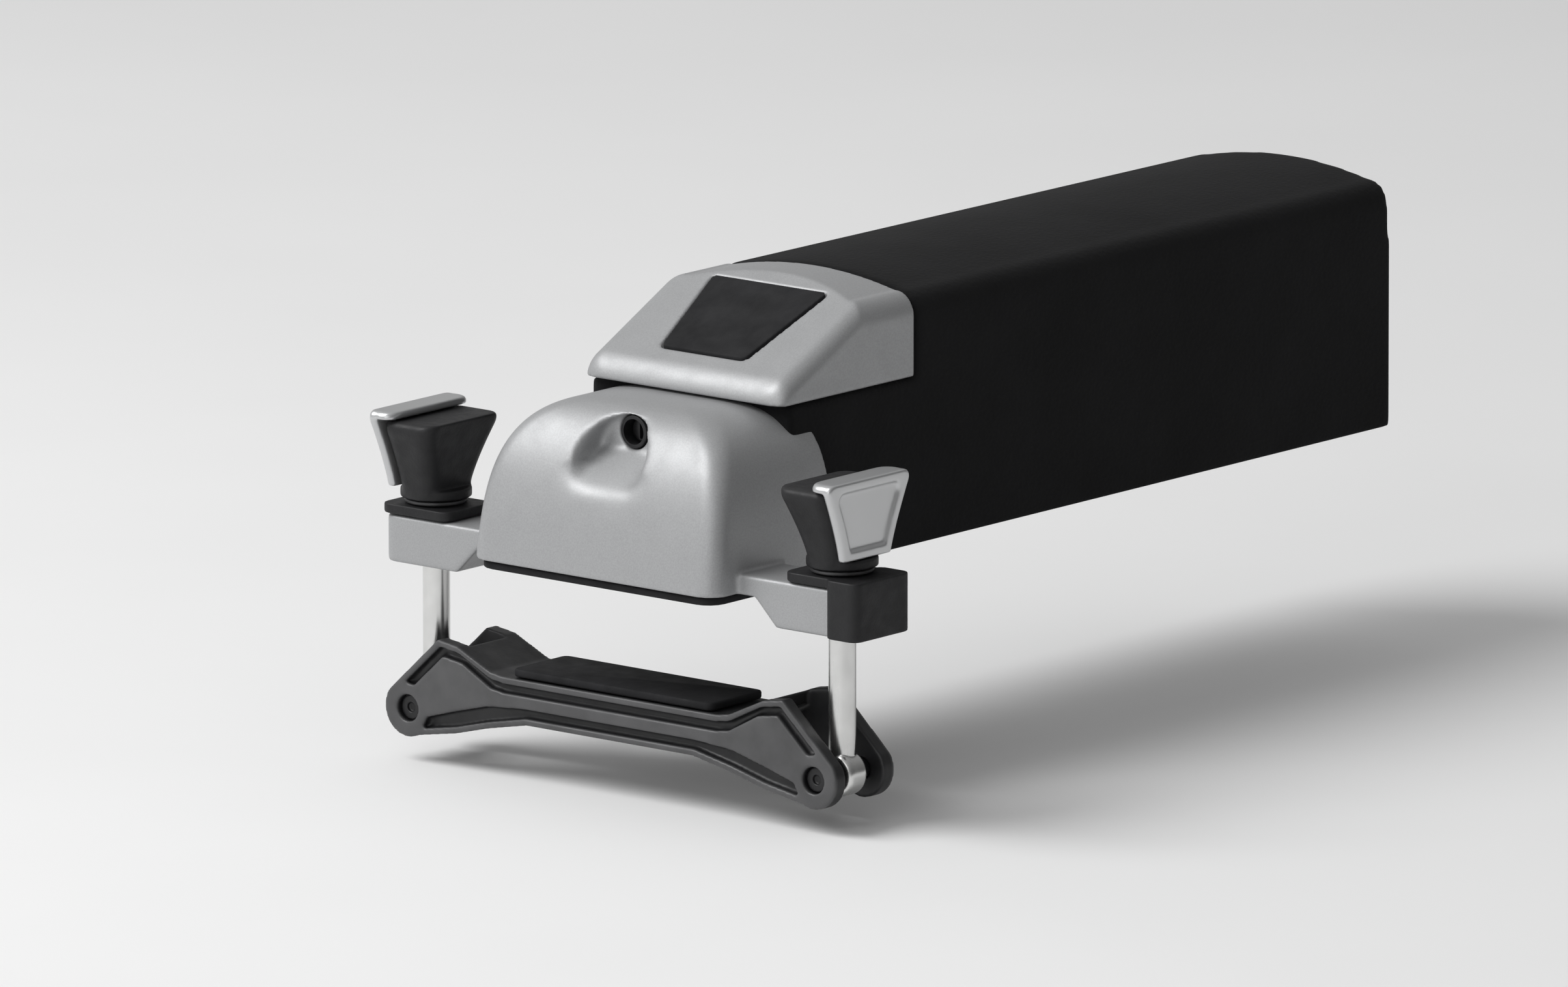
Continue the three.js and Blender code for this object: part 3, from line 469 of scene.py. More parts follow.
class Finish:
    """A procedural finish: a principled shader and the nodes that vary it over the surface."""

    # Places of the colour sockets on a mix node, whose other kinds of socket have the same names
    MIX_A, MIX_B, MIX_RESULT = 6, 7, 2

    def __init__(self, name, colour, roughness, metallic=0.0):
        self.material = bpy.data.materials.new(name)
        self.material.use_nodes = True
        self.tree = self.material.node_tree
        self.shader = self.tree.nodes["Principled BSDF"]
        self.set("Base Color", (*colour, 1))
        self.set("Roughness", roughness)
        self.set("Metallic", metallic)
        self.colour = colour
        self.coordinates = self.tree.nodes.new("ShaderNodeTexCoord").outputs["Object"]
        self.normal = None

    def set(self, socket, value):
        self.shader.inputs[socket].default_value = value

    def link(self, output, target):
        self.tree.links.new(output, target)

    def noise(self, scale, detail=2.0, roughness=0.5, stretch=(1, 1, 1)):
        mapping = self.tree.nodes.new("ShaderNodeMapping")
        mapping.inputs["Scale"].default_value = stretch
        self.link(self.coordinates, mapping.inputs["Vector"])
        node = self.tree.nodes.new("ShaderNodeTexNoise")
        node.inputs["Scale"].default_value = scale
        node.inputs["Detail"].default_value = detail
        node.inputs["Roughness"].default_value = roughness
        self.link(mapping.outputs["Vector"], node.inputs["Vector"])
        return node.outputs["Fac"]

    def cells(self, scale):
        node = self.tree.nodes.new("ShaderNodeTexVoronoi")
        node.inputs["Scale"].default_value = scale
        self.link(self.coordinates, node.inputs["Vector"])
        return node.outputs["Distance"]

    def between(self, factor, low, high):
        """The factor's middle range spread over low to high."""
        node = self.tree.nodes.new("ShaderNodeMapRange")
        node.inputs["From Min"].default_value = NOISE_LOW
        node.inputs["From Max"].default_value = NOISE_HIGH
        node.inputs["To Min"].default_value = low
        node.inputs["To Max"].default_value = high
        self.link(factor, node.inputs["Value"])
        return node.outputs["Result"]

    def vary_colour(self, factor, dark, light):
        """The colour drifts between a darker and a lighter share of itself."""
        ramp = self.tree.nodes.new("ShaderNodeValToRGB")
        low, high = ramp.color_ramp.elements
        low.position = NOISE_LOW
        high.position = NOISE_HIGH
        low.color = (*[c * dark for c in self.colour], 1)
        high.color = (*[c * light for c in self.colour], 1)
        self.link(factor, ramp.inputs["Fac"])
        self.link(ramp.outputs["Color"], self.shader.inputs["Base Color"])

    def face_mask(self, start, full):
        """None within a start distance of the middle plane, rising to one at the full distance."""
        parts = self.tree.nodes.new("ShaderNodeSeparateXYZ")
        self.link(self.coordinates, parts.inputs["Vector"])
        distance = self.tree.nodes.new("ShaderNodeMath")
        distance.operation = "ABSOLUTE"
        self.link(parts.outputs["X"], distance.inputs[0])
        mask = self.tree.nodes.new("ShaderNodeMapRange")
        mask.inputs["From Min"].default_value = start * MM
        mask.inputs["From Max"].default_value = full * MM
        self.link(distance.outputs["Value"], mask.inputs["Value"])
        return mask.outputs["Result"]

    def paint_shade_outside(self, mask, dark):
        """Painted shade: where the mask is none, the colour gives way to a darker one."""
        blend = self.tree.nodes.new("ShaderNodeMix")
        blend.data_type = "RGBA"
        source = self.shader.inputs["Base Color"].links[0].from_socket
        self.link(mask, blend.inputs["Factor"])
        blend.inputs[self.MIX_A].default_value = (*dark, 1)
        self.link(source, blend.inputs[self.MIX_B])
        self.link(blend.outputs[self.MIX_RESULT], self.shader.inputs["Base Color"])

    def vary_roughness(self, factor, low, high):
        self.link(self.between(factor, low, high), self.shader.inputs["Roughness"])

    def relief(self, height, depth, strength=1.0):
        """Bump of a real depth in millimetres, on top of any relief given before."""
        bump = self.tree.nodes.new("ShaderNodeBump")
        bump.inputs["Distance"].default_value = depth * MM
        bump.inputs["Strength"].default_value = strength
        self.link(height, bump.inputs["Height"])
        if self.normal:
            self.link(self.normal, bump.inputs["Normal"])
        self.normal = bump.outputs["Normal"]
        self.link(self.normal, self.shader.inputs["Normal"])


def silver_plastic():
    """Satin silver paint on moulded plastic, with a fine flake and a soft orange-peel."""
    finish = Finish("silver_plastic", (0.36, 0.364, 0.37), 0.46, 0.4)
    finish.vary_colour(finish.noise(2600, 1), 0.93, 1.06)
    finish.vary_roughness(finish.noise(140, 3), 0.42, 0.52)
    finish.relief(finish.noise(900, 2), 0.012)
    return finish.material


def bright_cover():
    """Metallised plastic on the knobs, brighter and smoother than the housing."""
    finish = Finish("bright_cover", (0.56, 0.565, 0.57), 0.33, 0.8)
    finish.vary_roughness(finish.noise(70, 2), 0.31, 0.36)
    finish.relief(finish.noise(400, 2), 0.0015)
    return finish.material


def black_plastic():
    """Moulded black plastic with a fine spark-eroded grain."""
    finish = Finish("black_plastic", (0.01, 0.01, 0.011), 0.58)
    finish.set("Specular IOR Level", 0.35)
    finish.vary_colour(finish.noise(60, 3), 0.85, 1.2)
    finish.vary_roughness(finish.noise(300, 2), 0.48, 0.62)
    finish.relief(finish.cells(1500), 0.03)
    return finish.material


def dark_rubber():
    """Rubber with a dull skin and faint dust."""
    finish = Finish("dark_rubber", (0.008, 0.008, 0.009), 0.82)
    finish.set("Specular IOR Level", 0.3)
    finish.vary_colour(finish.noise(90, 4), 0.8, 1.5)
    finish.vary_roughness(finish.noise(200, 3), 0.7, 0.88)
    finish.relief(finish.noise(1800, 2), 0.03)
    return finish.material


def pad_foam():
    """Closed-cell foam with a matte pebbled skin."""
    finish = Finish("pad_foam", (0.0055, 0.0055, 0.006), 0.96)
    finish.set("Specular IOR Level", 0.2)
    finish.set("Sheen Weight", 0.02)
    finish.set("Sheen Roughness", 0.6)
    finish.vary_colour(finish.noise(45, 4), 0.8, 1.35)
    finish.relief(finish.cells(900), 0.12, 0.7)
    finish.relief(finish.noise(70, 3), 0.25, 0.6)
    return finish.material


def cast_black():
    """Black cast arm in a satin grey, with painted shade that turns its grooves, inner faces and
    web near black.
    """
    finish = Finish("cast_black", (0.066, 0.066, 0.068), 0.42)
    finish.vary_colour(finish.noise(120, 4), 0.82, 1.2)
    # Painted shade: below the outer faces, in the grooves and between the plates, the colour turns
    # near black
    unshaded_outer_faces = finish.face_mask(ARM_HIGH.x - PAINTED_SHADE_FULL_DEPTH, ARM_HIGH.x - PAINTED_SHADE_START_DEPTH)
    finish.paint_shade_outside(unshaded_outer_faces, (0.01, 0.01, 0.011))
    finish.vary_roughness(finish.noise(160, 3), 0.38, 0.54)
    finish.relief(finish.noise(700, 3), 0.04)
    return finish.material


def bright_steel():
    """Zinc-plated steel with faint drawing lines along the bolt."""
    finish = Finish("bright_steel", (0.72, 0.72, 0.71), 0.24, 1.0)
    finish.vary_colour(finish.noise(150, 3), 0.9, 1.04)
    finish.vary_roughness(finish.noise(500, 2, stretch=(1, 1, 0.05)), 0.18, 0.3)
    finish.relief(finish.noise(600, 2, stretch=(1, 1, 0.03)), 0.0015)
    return finish.material


def dull_steel():
    """Dull phosphated steel of the washers under the knobs."""
    finish = Finish("dull_steel", (0.1, 0.1, 0.102), 0.55, 0.8)
    finish.vary_colour(finish.noise(300, 3), 0.85, 1.15)
    finish.relief(finish.noise(900, 2), 0.006)
    return finish.material


def dark_steel():
    """Blackened steel of the pins, their clips and the lock, kept so dark that the lock's sleeve
    and plug also stand for painted shade in its hole.
    """
    finish = Finish("dark_steel", (0.012, 0.012, 0.013), 0.45, 0.2)
    finish.vary_colour(finish.noise(250, 3), 0.8, 1.3)
    finish.vary_roughness(finish.noise(400, 3), 0.36, 0.5)
    finish.relief(finish.noise(1200, 2), 0.008)
    return finish.material


SILVER = silver_plastic()
COVER = bright_cover()
BLACK = black_plastic()
RUBBER = dark_rubber()
FOAM = pad_foam()
CAST = cast_black()
STEEL = bright_steel()
DULL_STEEL = dull_steel()
DARK_STEEL = dark_steel()


# Domed housing

def dome_ring(z, inset):
    """Plan of the dome at a height: a leaning face, round corners and rolled shoulders."""
    reach = HOUSING_HIGH.z - inset
    s = min(max(z, 0) / reach, 1)

    def roll(fullness):
        return 1 - (1 - s ** fullness) ** (1 / fullness)

    face = HOUSING_LOW.x + inset + FACE_RUN * roll(FACE_FULLNESS) + FACE_LEAN * s * reach
    half = DOME_HALF - inset - SIDE_TAPER * s * reach - SIDE_RUN * roll(SIDE_FULLNESS)
    radius = min(max(DOME_CORNER - inset, 1), half * DOME_CORNER_SHARE)
    back = HOUSING_HIGH.x - inset
    steps = 16
    points = [(back, -half, z), (back, half, z)]
    for side in (1, -1):
        for i in range(steps + 1):
            angle = 0.5 * math.pi * (i / steps if side > 0 else 1 - i / steps)
            points.append((face + radius * (1 - math.sin(angle)),
                           side * (half - radius * (1 - math.cos(angle))), z))
    return points


def dome_solid(inset, bottom):
    """The dome's outside, or its inside when it is inset by the wall, from a bottom height up."""
    levels = 48
    top = HOUSING_HIGH.z - inset
    heights = [top * math.sin(0.5 * math.pi * i / levels) for i in range(1, levels + 1)]
    heights = [bottom] + [z for z in heights if z > bottom + SPILL]
    return skin([dome_ring(z, inset) for z in heights])


def flange_side():
    """Side view of both flanges, whose outer ends reach down below the dome's foot."""
    tip = HOUSING_HIGH.y
    low = HOUSING_LOW.z
    drop = DOME_FOOT_Z - low
    side = [(-tip, low), (-FLANGE_DROP_Y - drop, low), (-FLANGE_DROP_Y, DOME_FOOT_Z),
            (FLANGE_DROP_Y, DOME_FOOT_Z), (FLANGE_DROP_Y + drop, low), (tip, low),
            (tip, FLANGE_TOP_Z), (-tip, FLANGE_TOP_Z)]
    return prism("x", side, -FLANGE_HALF, FLANGE_HALF)


def flange_plan():
    """Plan of both flanges, whose ends have round corners."""
    tip = HOUSING_HIGH.y
    outline = rounded_rectangle(-FLANGE_HALF, FLANGE_HALF, -tip, tip, FLANGE_CORNER)
    return prism("z", outline, HOUSING_LOW.z - SPILL, FLANGE_TOP_Z + SPILL)


def scoop_tool():
    """The thumb scoop in front of the lock: a round end and a floor that runs out down the face."""
    back = BARREL_LOW.x
    out = HOUSING_LOW.x - 2 * SPILL
    side = [(out, SCOOP_FLOOR_Z - (back - out) * SCOOP_SLOPE), (back, SCOOP_FLOOR_Z),
            (back, HOUSING_HIGH.z), (out, HOUSING_HIGH.z)]
    wedge = piece_from("scoop", prism("y", side, -SCOOP_RADIUS, SCOOP_RADIUS))
    centre = LOCK_Z + BARREL_RADIUS + SCOOP_BROW - SCOOP_RADIUS
    worked(wedge, ("INTERSECT", prism("x", circle(0, centre, SCOOP_RADIUS), out, back)))
    return as_tool(wedge)


def scoop_weight(point):
    """Full round the scoop's rim and none at the lock's hole or on the housing's inner side."""
    if point.x > BARREL_LOW.x + SPILL or abs(point.y) > SCOOP_RADIUS + SCOOP_SOFT:
        return 0
    if not LOCK_Z - SCOOP_DROP < point.z < LOCK_Z + BARREL_RADIUS + SCOOP_SOFT:
        return 0
    from_hole = math.hypot(point.y, point.z - LOCK_Z) - BARREL_RADIUS
    from_side = SCOOP_RADIUS + SCOOP_SOFT - abs(point.y)
    return min((from_hole - HOLE_RIM) / HOLE_FADE, from_side / SIDE_FADE)


def scoop_lip_weight(point):
    """Full along the scoop's lower lip, fading out towards the hole."""
    below = LOCK_Z - BARREL_RADIUS - LIP_BELOW_HOLE - point.z
    return scoop_weight(point) * min(max(below / LIP_FADE, 0), 1)


def as_tool(piece):
    """The piece's mesh in millimetres, ready to work on another piece, and the piece removed."""
    bm = bmesh.new()
    bm.from_mesh(piece.data)
    bmesh.ops.scale(bm, vec=(1 / MM, 1 / MM, 1 / MM), verts=bm.verts)
    bpy.data.objects.remove(piece)
    return bm


def lock_boss():
    """The thicker wall behind the scoop, and the sleeve that holds the lock's barrel."""
    low = HOUSING_LOW.x
    wall = BARREL_LOW.x
    brow_x = wall + BROW_DEPTH
    brow = [(low, 0), (brow_x, SCOOP_FLOOR_Z - BROW_DROP), (brow_x, HOUSING_HIGH.z),
            (low, HOUSING_HIGH.z)]
    reach = SCOOP_RADIUS + DOME_WALL
    boss = piece_from("boss", prism("y", brow, -reach, reach))
    sleeve = drum("x", (0, LOCK_Z), BARREL_RADIUS + BOSS_WALL, low, wall + BOSS_DEPTH)
    worked(boss, ("UNION", sleeve),
           ("INTERSECT", dome_solid(DOME_WALL / 2, DOME_FOOT_Z)))
    return as_tool(boss)


def bridge_slot():
    """Room for the steel plate, which runs from bolt to bolt through the dome's side walls."""
    half = GAP - BRIDGE_LOW.x
    return block(-half, half, BRIDGE_LOW.y - GAP, BRIDGE_HIGH.y + GAP, BRIDGE_LOW.z - GAP,
                 BRIDGE_HIGH.z + GAP)


def tongue_window():
    """The opening in the dome's back wall for the tray's tongue."""
    half = TONGUE_HALF + GAP
    back = HOUSING_HIGH.x
    return block(back - DOME_WALL - SPILL, back + SPILL, -half, half, TONGUE_SILL_Z,
                 TRAY_HIGH.z + GAP)


def bolt_hole(side):
    """The hole for an eye bolt at the front (-1) or the rear (1)."""
    return drum("z", (0, side * BOLT_Y), BOLT_RADIUS + BOLT_HOLE_GAP, -TOOL_END, TOOL_END)


def housing():
    """The domed shell with its flanges and lock boss, cut for all that it holds."""
    flange = piece_from("flange", flange_side())
    worked(flange, ("INTERSECT", flange_plan()))
    shell = piece_from("housing_shell", dome_solid(0, DOME_FOOT_Z))
    lock_hole = drum("x", (0, LOCK_Z), BARREL_RADIUS + GAP, -TOOL_END, BARREL_HIGH.x + SPILL)
    worked(shell, ("UNION", as_tool(flange)),
           ("DIFFERENCE", dome_solid(DOME_WALL, HOUSING_LOW.z - SPILL)),
           ("DIFFERENCE", bridge_slot()),
           *[("DIFFERENCE", bolt_hole(side)) for side in (-1, 1)],
           ("UNION", lock_boss()), ("DIFFERENCE", scoop_tool()), ("DIFFERENCE", lock_hole),
           ("DIFFERENCE", tongue_window()))
    moulded(shell, *HOUSING_SKIN)
    softened(shell, scoop_weight, SCOOP_ROUNDS)
    softened(shell, scoop_lip_weight, LIP_ROUNDS)
    return add(shell, "carrier", SILVER, "silver_plastic", "dome_housing")


# Pad, end cap and inset

def crown_outline(inset, bottom):
    """Cross-section of pad and cap, with straight sides and a crowned top."""
    half = PAD_HIGH.y - inset
    top = PAD_HIGH.z - inset
    shoulder = half - TOP_EDGE_RADIUS
    shoulder_z = top - CROWN * (shoulder / PAD_HIGH.y) ** 2
    arc = []
    steps = 12
    for i in range(steps + 1):
        angle = TOP_EDGE_SWEEP * i / steps
        rise = math.sin(angle) / math.sin(TOP_EDGE_SWEEP)
        arc.append((TOP_EDGE_RADIUS * math.cos(angle), TOP_EDGE_RADIUS * (rise - 1)))
    points = [(-half, bottom), (half, bottom)]
    points += [(shoulder + a, shoulder_z + b) for a, b in arc]
    for i in range(2 * steps + 1):
        y = shoulder * (1 - i / steps)
        points.append((y, top - CROWN * (y / PAD_HIGH.y) ** 2))
    points += [(-shoulder - a, shoulder_z + b) for a, b in reversed(arc)]
    return points


def nose_ring(x, half, top, bottom):
    """Cross-section of the nose at one place, with round upper corners."""
    radius = min(CAP_SIDE_RADIUS, half / 2)
    steps = 10
    points = [(x, -half, bottom), (x, half, bottom)]
    for side in (1, -1):
        for i in range(steps + 1):
            angle = 0.5 * math.pi * (i / steps if side > 0 else 1 - i / steps)
            points.append((x, side * (half - radius * (1 - math.cos(angle))),
                           top - radius * (1 - math.sin(angle))))
    return points


def nose_solid(inset, bottom, back):
    """Outboard end of pad and cap: a round nose that runs into the sloping facet."""
    normal = Vector((-FACET_SLOPE, 1)).normalized()
    centre_x = FACET_LOW_X - NOSE_RADIUS * normal.x
    centre_z = FACET_LOW_Z - NOSE_RADIUS * normal.y
    radius = NOSE_RADIUS - inset
    lean = math.atan2(normal.y, -normal.x)
    face = centre_x - radius
    corner = max(CAP_CORNER - inset, 1)
    foot = CAP_LOW.z - 2 * CAP_SIDE_RADIUS

    def half_at(x):
        depth = min(max(corner - (x - face), 0), corner)
        return PAD_HIGH.y - inset - corner + math.sqrt(corner ** 2 - depth ** 2)

    rings = []
    steps = 26
    for i in range(steps + 1):
        angle = lean * (NOSE_START + (1 - NOSE_START) * i / steps)
        x = centre_x - radius * math.cos(angle)
        rings.append(nose_ring(x, half_at(x), centre_z + radius * math.sin(angle), foot))
    end_x = centre_x + radius * normal.x
    end_z = centre_z + radius * normal.y
    x = end_x + 2 * NOSE_RING_STEP
    while x < face + corner + 2 * NOSE_RING_STEP:
        rings.append(nose_ring(x, half_at(x), end_z + (x - end_x) * FACET_SLOPE, foot))
        x += NOSE_RING_STEP
    rings.append(nose_ring(back, half_at(back), end_z + (back - end_x) * FACET_SLOPE, foot))
    solid = piece_from("nose", skin(rings))
    section = crown_outline(inset, bottom)
    worked(solid, ("INTERSECT", prism("x", section, face - SPILL, back + SPILL)))
    return as_tool(solid)


def inset_solid(growth, low, high, corner):
    """The facet's inset, drawn flat with round corners and then leaned onto the facet."""
    widen = (INSET_HIGH_HALF - INSET_LOW_HALF) / (INSET_HIGH_X - INSET_LOW_X)
    grow = growth * (1 + widen)
    x0, x1 = INSET_LOW_X - growth, INSET_HIGH_X + growth
    bm = prism("z", [(x0, -INSET_LOW_HALF - grow), (x1, -INSET_HIGH_HALF - grow),
                     (x1, INSET_HIGH_HALF + grow), (x0, INSET_LOW_HALF + grow)], low, high)
    upright = [e for e in bm.edges if e.verts[0].co.xy == e.verts[1].co.xy]
    bmesh.ops.bevel(bm, geom=upright, offset=corner, affect="EDGES", segments=6, profile=0.5,
                    material=-1)
    lean = Matrix(((1, 0, 0, 0), (0, 1, 0, 0),
                   (FACET_SLOPE, 0, 1, FACET_LOW_Z - FACET_SLOPE * FACET_LOW_X), (0, 0, 0, 1)))
    bmesh.ops.transform(bm, matrix=lean, verts=bm.verts)
    return bm


def cap():
    """The thin-walled cap over the block's outboard end, with a pocket for the inset."""
    shell = piece_from("cap_shell", nose_solid(0, CAP_LOW.z, CAP_HIGH.x))
    hollow = nose_solid(CAP_WALL, CAP_LOW.z - OVERRUN, CAP_HIGH.x + OVERRUN)
    worked(shell, ("DIFFERENCE", hollow),
           ("DIFFERENCE", inset_solid(INSET_GAP, -INSET_SINK, POCKET_TOP, POCKET_CORNER)))
    moulded(shell, *CAP_SKIN)
    return add(shell, "carrier", SILVER, "silver_plastic", "end_cap")


def cap_inset():
    """The dark tile in the cap's pocket, which stands a little proud of the facet."""
    tile = piece_from("inset_tile", inset_solid(0, GAP - INSET_SINK, INSET_THICKNESS - INSET_SINK,
                                                INSET_CORNER))
    moulded(tile, *INSET_SKIN)
    return add(tile, "carrier", RUBBER, "rubber", "cap_inset")


def pad():
    """The foam block, which runs on under the cap and is hollowed for the tray."""
    gap = CAP_WALL + FOAM_GAP
    half = PAD_HIGH.y
    cap_back = CAP_HIGH.x
    join = cap_back + FOAM_JOIN
    end = PAD_HIGH.x
    foam = piece_from("foam_block", prism("x", crown_outline(0, PAD_LOW.z), cap_back + GAP,
                                          end + 2 * SPILL))
    beyond = [(end, FOAM_CUT_LOW_Z), (end + TOOL_END, FOAM_CUT_LOW_Z),
              (end + TOOL_END, FOAM_CUT_HIGH_Z), (end - FOAM_LEAN, FOAM_CUT_HIGH_Z)]
    worked(foam,
           ("UNION", nose_solid(gap, CAP_LOW.z + FOAM_UNDERLAP, join)),
           ("UNION", block(PAD_LOW.x, join, gap - half, half - gap, PAD_LOW.z,
                           CAP_LOW.z + FOAM_STEP)),
           ("UNION", block(PAD_LOW.x, cap_back + OVERRUN, -half, half, PAD_LOW.z,
                           CAP_LOW.z - GAP)),
           ("DIFFERENCE", prism("y", beyond, -half - OVERRUN, half + OVERRUN)),
           ("DIFFERENCE", block(PAD_LOW.x - OVERRUN, TRAY_HIGH.x + GAP, TRAY_LOW.y - GAP,
                                TRAY_HIGH.y + GAP, PAD_LOW.z - OVERRUN, TRAY_HIGH.z + GAP)))
    moulded(foam, *FOAM_SKIN)
    return add(foam, "carrier", FOAM, "foam_rubber", "pad_body")


# Lower arm

def arm_outline(inset, belly_lift=0):
    """Side view of the arm, or a line inside it: flat seat, raised shoulders and round lobes."""
    top = ARM_TOP_Z - inset
    radius = LOBE_RADIUS - inset
    bottom = ARM_TOP_Z - ARM_DEPTH + inset
    lift = inset + belly_lift
    shoulder_y = SHOULDER_Y - inset * SHOULDER_SHIFT
    shoulder_z = SHOULDER_Z - inset
    points = [(FLAT_HALF, top), (FLAT_HALF + KNEE_LENGTH, top + KNEE_RISE),
              (shoulder_y - SHOULDER_LENGTH, shoulder_z - SHOULDER_DIP), (shoulder_y, shoulder_z)]
    steps = 30
    for i in range(steps + 1):
        angle = LOBE_START - LOBE_SWEEP * i / steps
        points.append((BOLT_Y + radius * math.cos(angle), LOBE_Z + radius * math.sin(angle)))
    points += [(BELLY_Y[0], LOBE_Z - BELLY_DROP[0] + lift),
               (BELLY_Y[1], LOBE_Z - BELLY_DROP[1] + lift), (BELLY_Y[2], bottom - BELLY_SAG)]
    return points + [(-y, z) for y, z in reversed(points)]


def cross_holes(radius, end):
    """A round cut across each of the arm's lobes, from outside it to an end place."""
    return [("DIFFERENCE", drum("x", (side * BOLT_Y, LOBE_Z), radius, -TOOL_END, end))
            for side in (-1, 1)]


def arm_plate(low, high, grooved):
    """One plate of the arm, with a groove inside the rim of the face at the grooved place."""
    plate = piece_from("plate", prism("x", arm_outline(0), low, high))
    start, end = grooved - GROOVE_DEPTH, grooved + GROOVE_DEPTH
    groove = piece_from("groove", prism("x", arm_outline(RIM_WIDTH), start, end))
    island = arm_outline(RIM_WIDTH + GROOVE_WIDTH, GROOVE_SWELL)
    worked(groove, ("DIFFERENCE", prism("x", island, start - SPILL, end + SPILL)),
           *cross_holes(PIN_BOSS_RADIUS, TOOL_END))
    worked(plate, ("DIFFERENCE", as_tool(groove)))
    return as_tool(plate)


def arm_web(inner):
    """The floor between the two plates, under the rubber."""
    web = piece_from("web", prism("x", arm_outline(0), -inner - SPILL, inner + SPILL))
    lowered = [(y, z - WEB_THICKNESS) for y, z in arm_outline(0)]
    middle = block(-TOOL_END, TOOL_END, -WEB_HALF, WEB_HALF, ARM_LOW.z - SPILL, 0)
    worked(web, ("INTERSECT", middle), ("DIFFERENCE", prism("x", lowered, -inner, inner)))
    return as_tool(web)


def arm_rib(y, inner):
    """A rib across the arm, from plate to plate."""
    reach = inner + SPILL
    rib = piece_from("rib", block(-reach, reach, y - RIB_HALF, y + RIB_HALF, LOBE_Z, 0))
    worked(rib, ("INTERSECT", prism("x", arm_outline(1), -reach, reach)))
    return as_tool(rib)


def arm():
    """The cast arm: two grooved plates with a web, ribs and holes for the pins."""
    outer = ARM_HIGH.x
    inner = outer - ARM_PLATE
    casting = piece_from("arm_casting", arm_plate(inner, outer, outer))
    worked(casting, ("UNION", arm_plate(-outer, -inner, -outer)), ("UNION", arm_web(inner)),
           *[("UNION", arm_rib(y, inner)) for y in RIB_PLACES],
           *cross_holes(PIN_RADIUS + GAP, TOOL_END),
           *cross_holes(PIN_HEAD_RADIUS + GAP, PIN_LOW.x + PIN_HEAD_THICKNESS + GAP))
    moulded(casting, *ARM_SKIN)
    return add(casting, "clamp_arm", CAST, "black_casting", "lower_arm")


# Eye bolts, pins and clips

def eye_bolt(end, side):
    """A drawn shank that runs into a forged eye with rounded shoulders."""
    y = side * BOLT_Y
    eye = piece_from(f"bolt_{end}", turned(
        rounded_profile(PIN_RADIUS + GAP, EYE_RADIUS, -EYE_HALF, EYE_HALF, EYE_EDGE), "x",
        (y, LOBE_Z)))
    start = LOBE_Z + (PIN_RADIUS + EYE_RADIUS) / 2
    worked(eye, ("UNION", drum("z", (0, y), BOLT_RADIUS, start, BOLT_HIGH.z)))
    moulded(eye, *BOLT_SKIN)
    return add(eye, "clamp_arm", STEEL, "steel", f"eye_bolt_{end}")


def arm_pin(end, side):
    """A headed cross pin, let into the casting's outer face, with a small centre dimple."""
    centre = (side * BOLT_Y, LOBE_Z)
    face = PIN_LOW.x
    pin = piece_from(f"cross_pin_{end}", drum("x", centre, PIN_RADIUS, face, PIN_HIGH.x))
    worked(pin, ("UNION", drum("x", centre, PIN_HEAD_RADIUS, face, face + PIN_HEAD_THICKNESS)),
           ("DIFFERENCE", drum("x", centre, PIN_RADIUS / 2, face - SPILL,
                               face + PIN_DIMPLE_DEPTH)))
    moulded(pin, *PIN_SKIN)
    return add(pin, "clamp_arm", DARK_STEEL, "dark_steel", f"arm_pin_{end}")


def eased_piece(node, name, width, body, material, slot):
    """A frame node's own shape with its edges broken, as a piece of its own."""
    piece = piece_from(name, eased_copy(node, width))
    shade(piece)
    return add(piece, body, material, slot, node)


# Knobs with their seats and washers

def knob_outline(z, grow, inner, outer, top, end):
    """Plan of the knob's head at a height, flared upwards with rounded upper corners."""
    foot = CORE_LOW.z + FOOT_HEIGHT
    s = min(max((z - foot) / (COVER_HIGH.z - foot), 0), 1)
    rise = max(z - (top - KNOB_SHOULDER), 0)
    drawn_in = KNOB_SHOULDER - math.sqrt(max(KNOB_SHOULDER ** 2 - rise ** 2, 0))
    half = KNOB_LOW_HALF + (KNOB_HIGH_HALF - KNOB_LOW_HALF) * s ** KNOB_FLARE + grow - drawn_in
    near, far = inner(s), outer(s)
    radius = min(KNOB_CORNER, (far - near) * KNOB_CORNER_SHARE)
    plan = rounded_rectangle(-half, half, BOLT_Y + near, BOLT_Y + far, radius, 6)
    return [(end * x, end * y, z) for x, y in plan]


def knob_solid(grow, inner, outer, low, high, end):
    """A slice of the knob's head between two heights and two faces, turned to its end."""
    shoulder = high - KNOB_SHOULDER
    steps = 14
    heights = {low, high}
    for i in range(steps):
        heights.add(low + (shoulder - low) * i / steps)
        heights.add(shoulder + (high - shoulder) * math.sin(0.5 * math.pi * i / steps))
    levels = sorted(z for z in heights if z >= low)
    return skin([knob_outline(z, grow, inner, outer, high, end) for z in levels])


# Faces of the knob across its depth, each at a share of the head's height

def inner_face(s):
    return -INNER_LOW - (INNER_HIGH - INNER_LOW) * s ** KNOB_FLARE


def outer_face(s):
    return OUTER_LOW + (OUTER_HIGH - OUTER_LOW) * s


def cover_back(s):
    return outer_face(s) + GAP


def cover_front(s):
    return outer_face(s) + GAP + COVER_THICKNESS


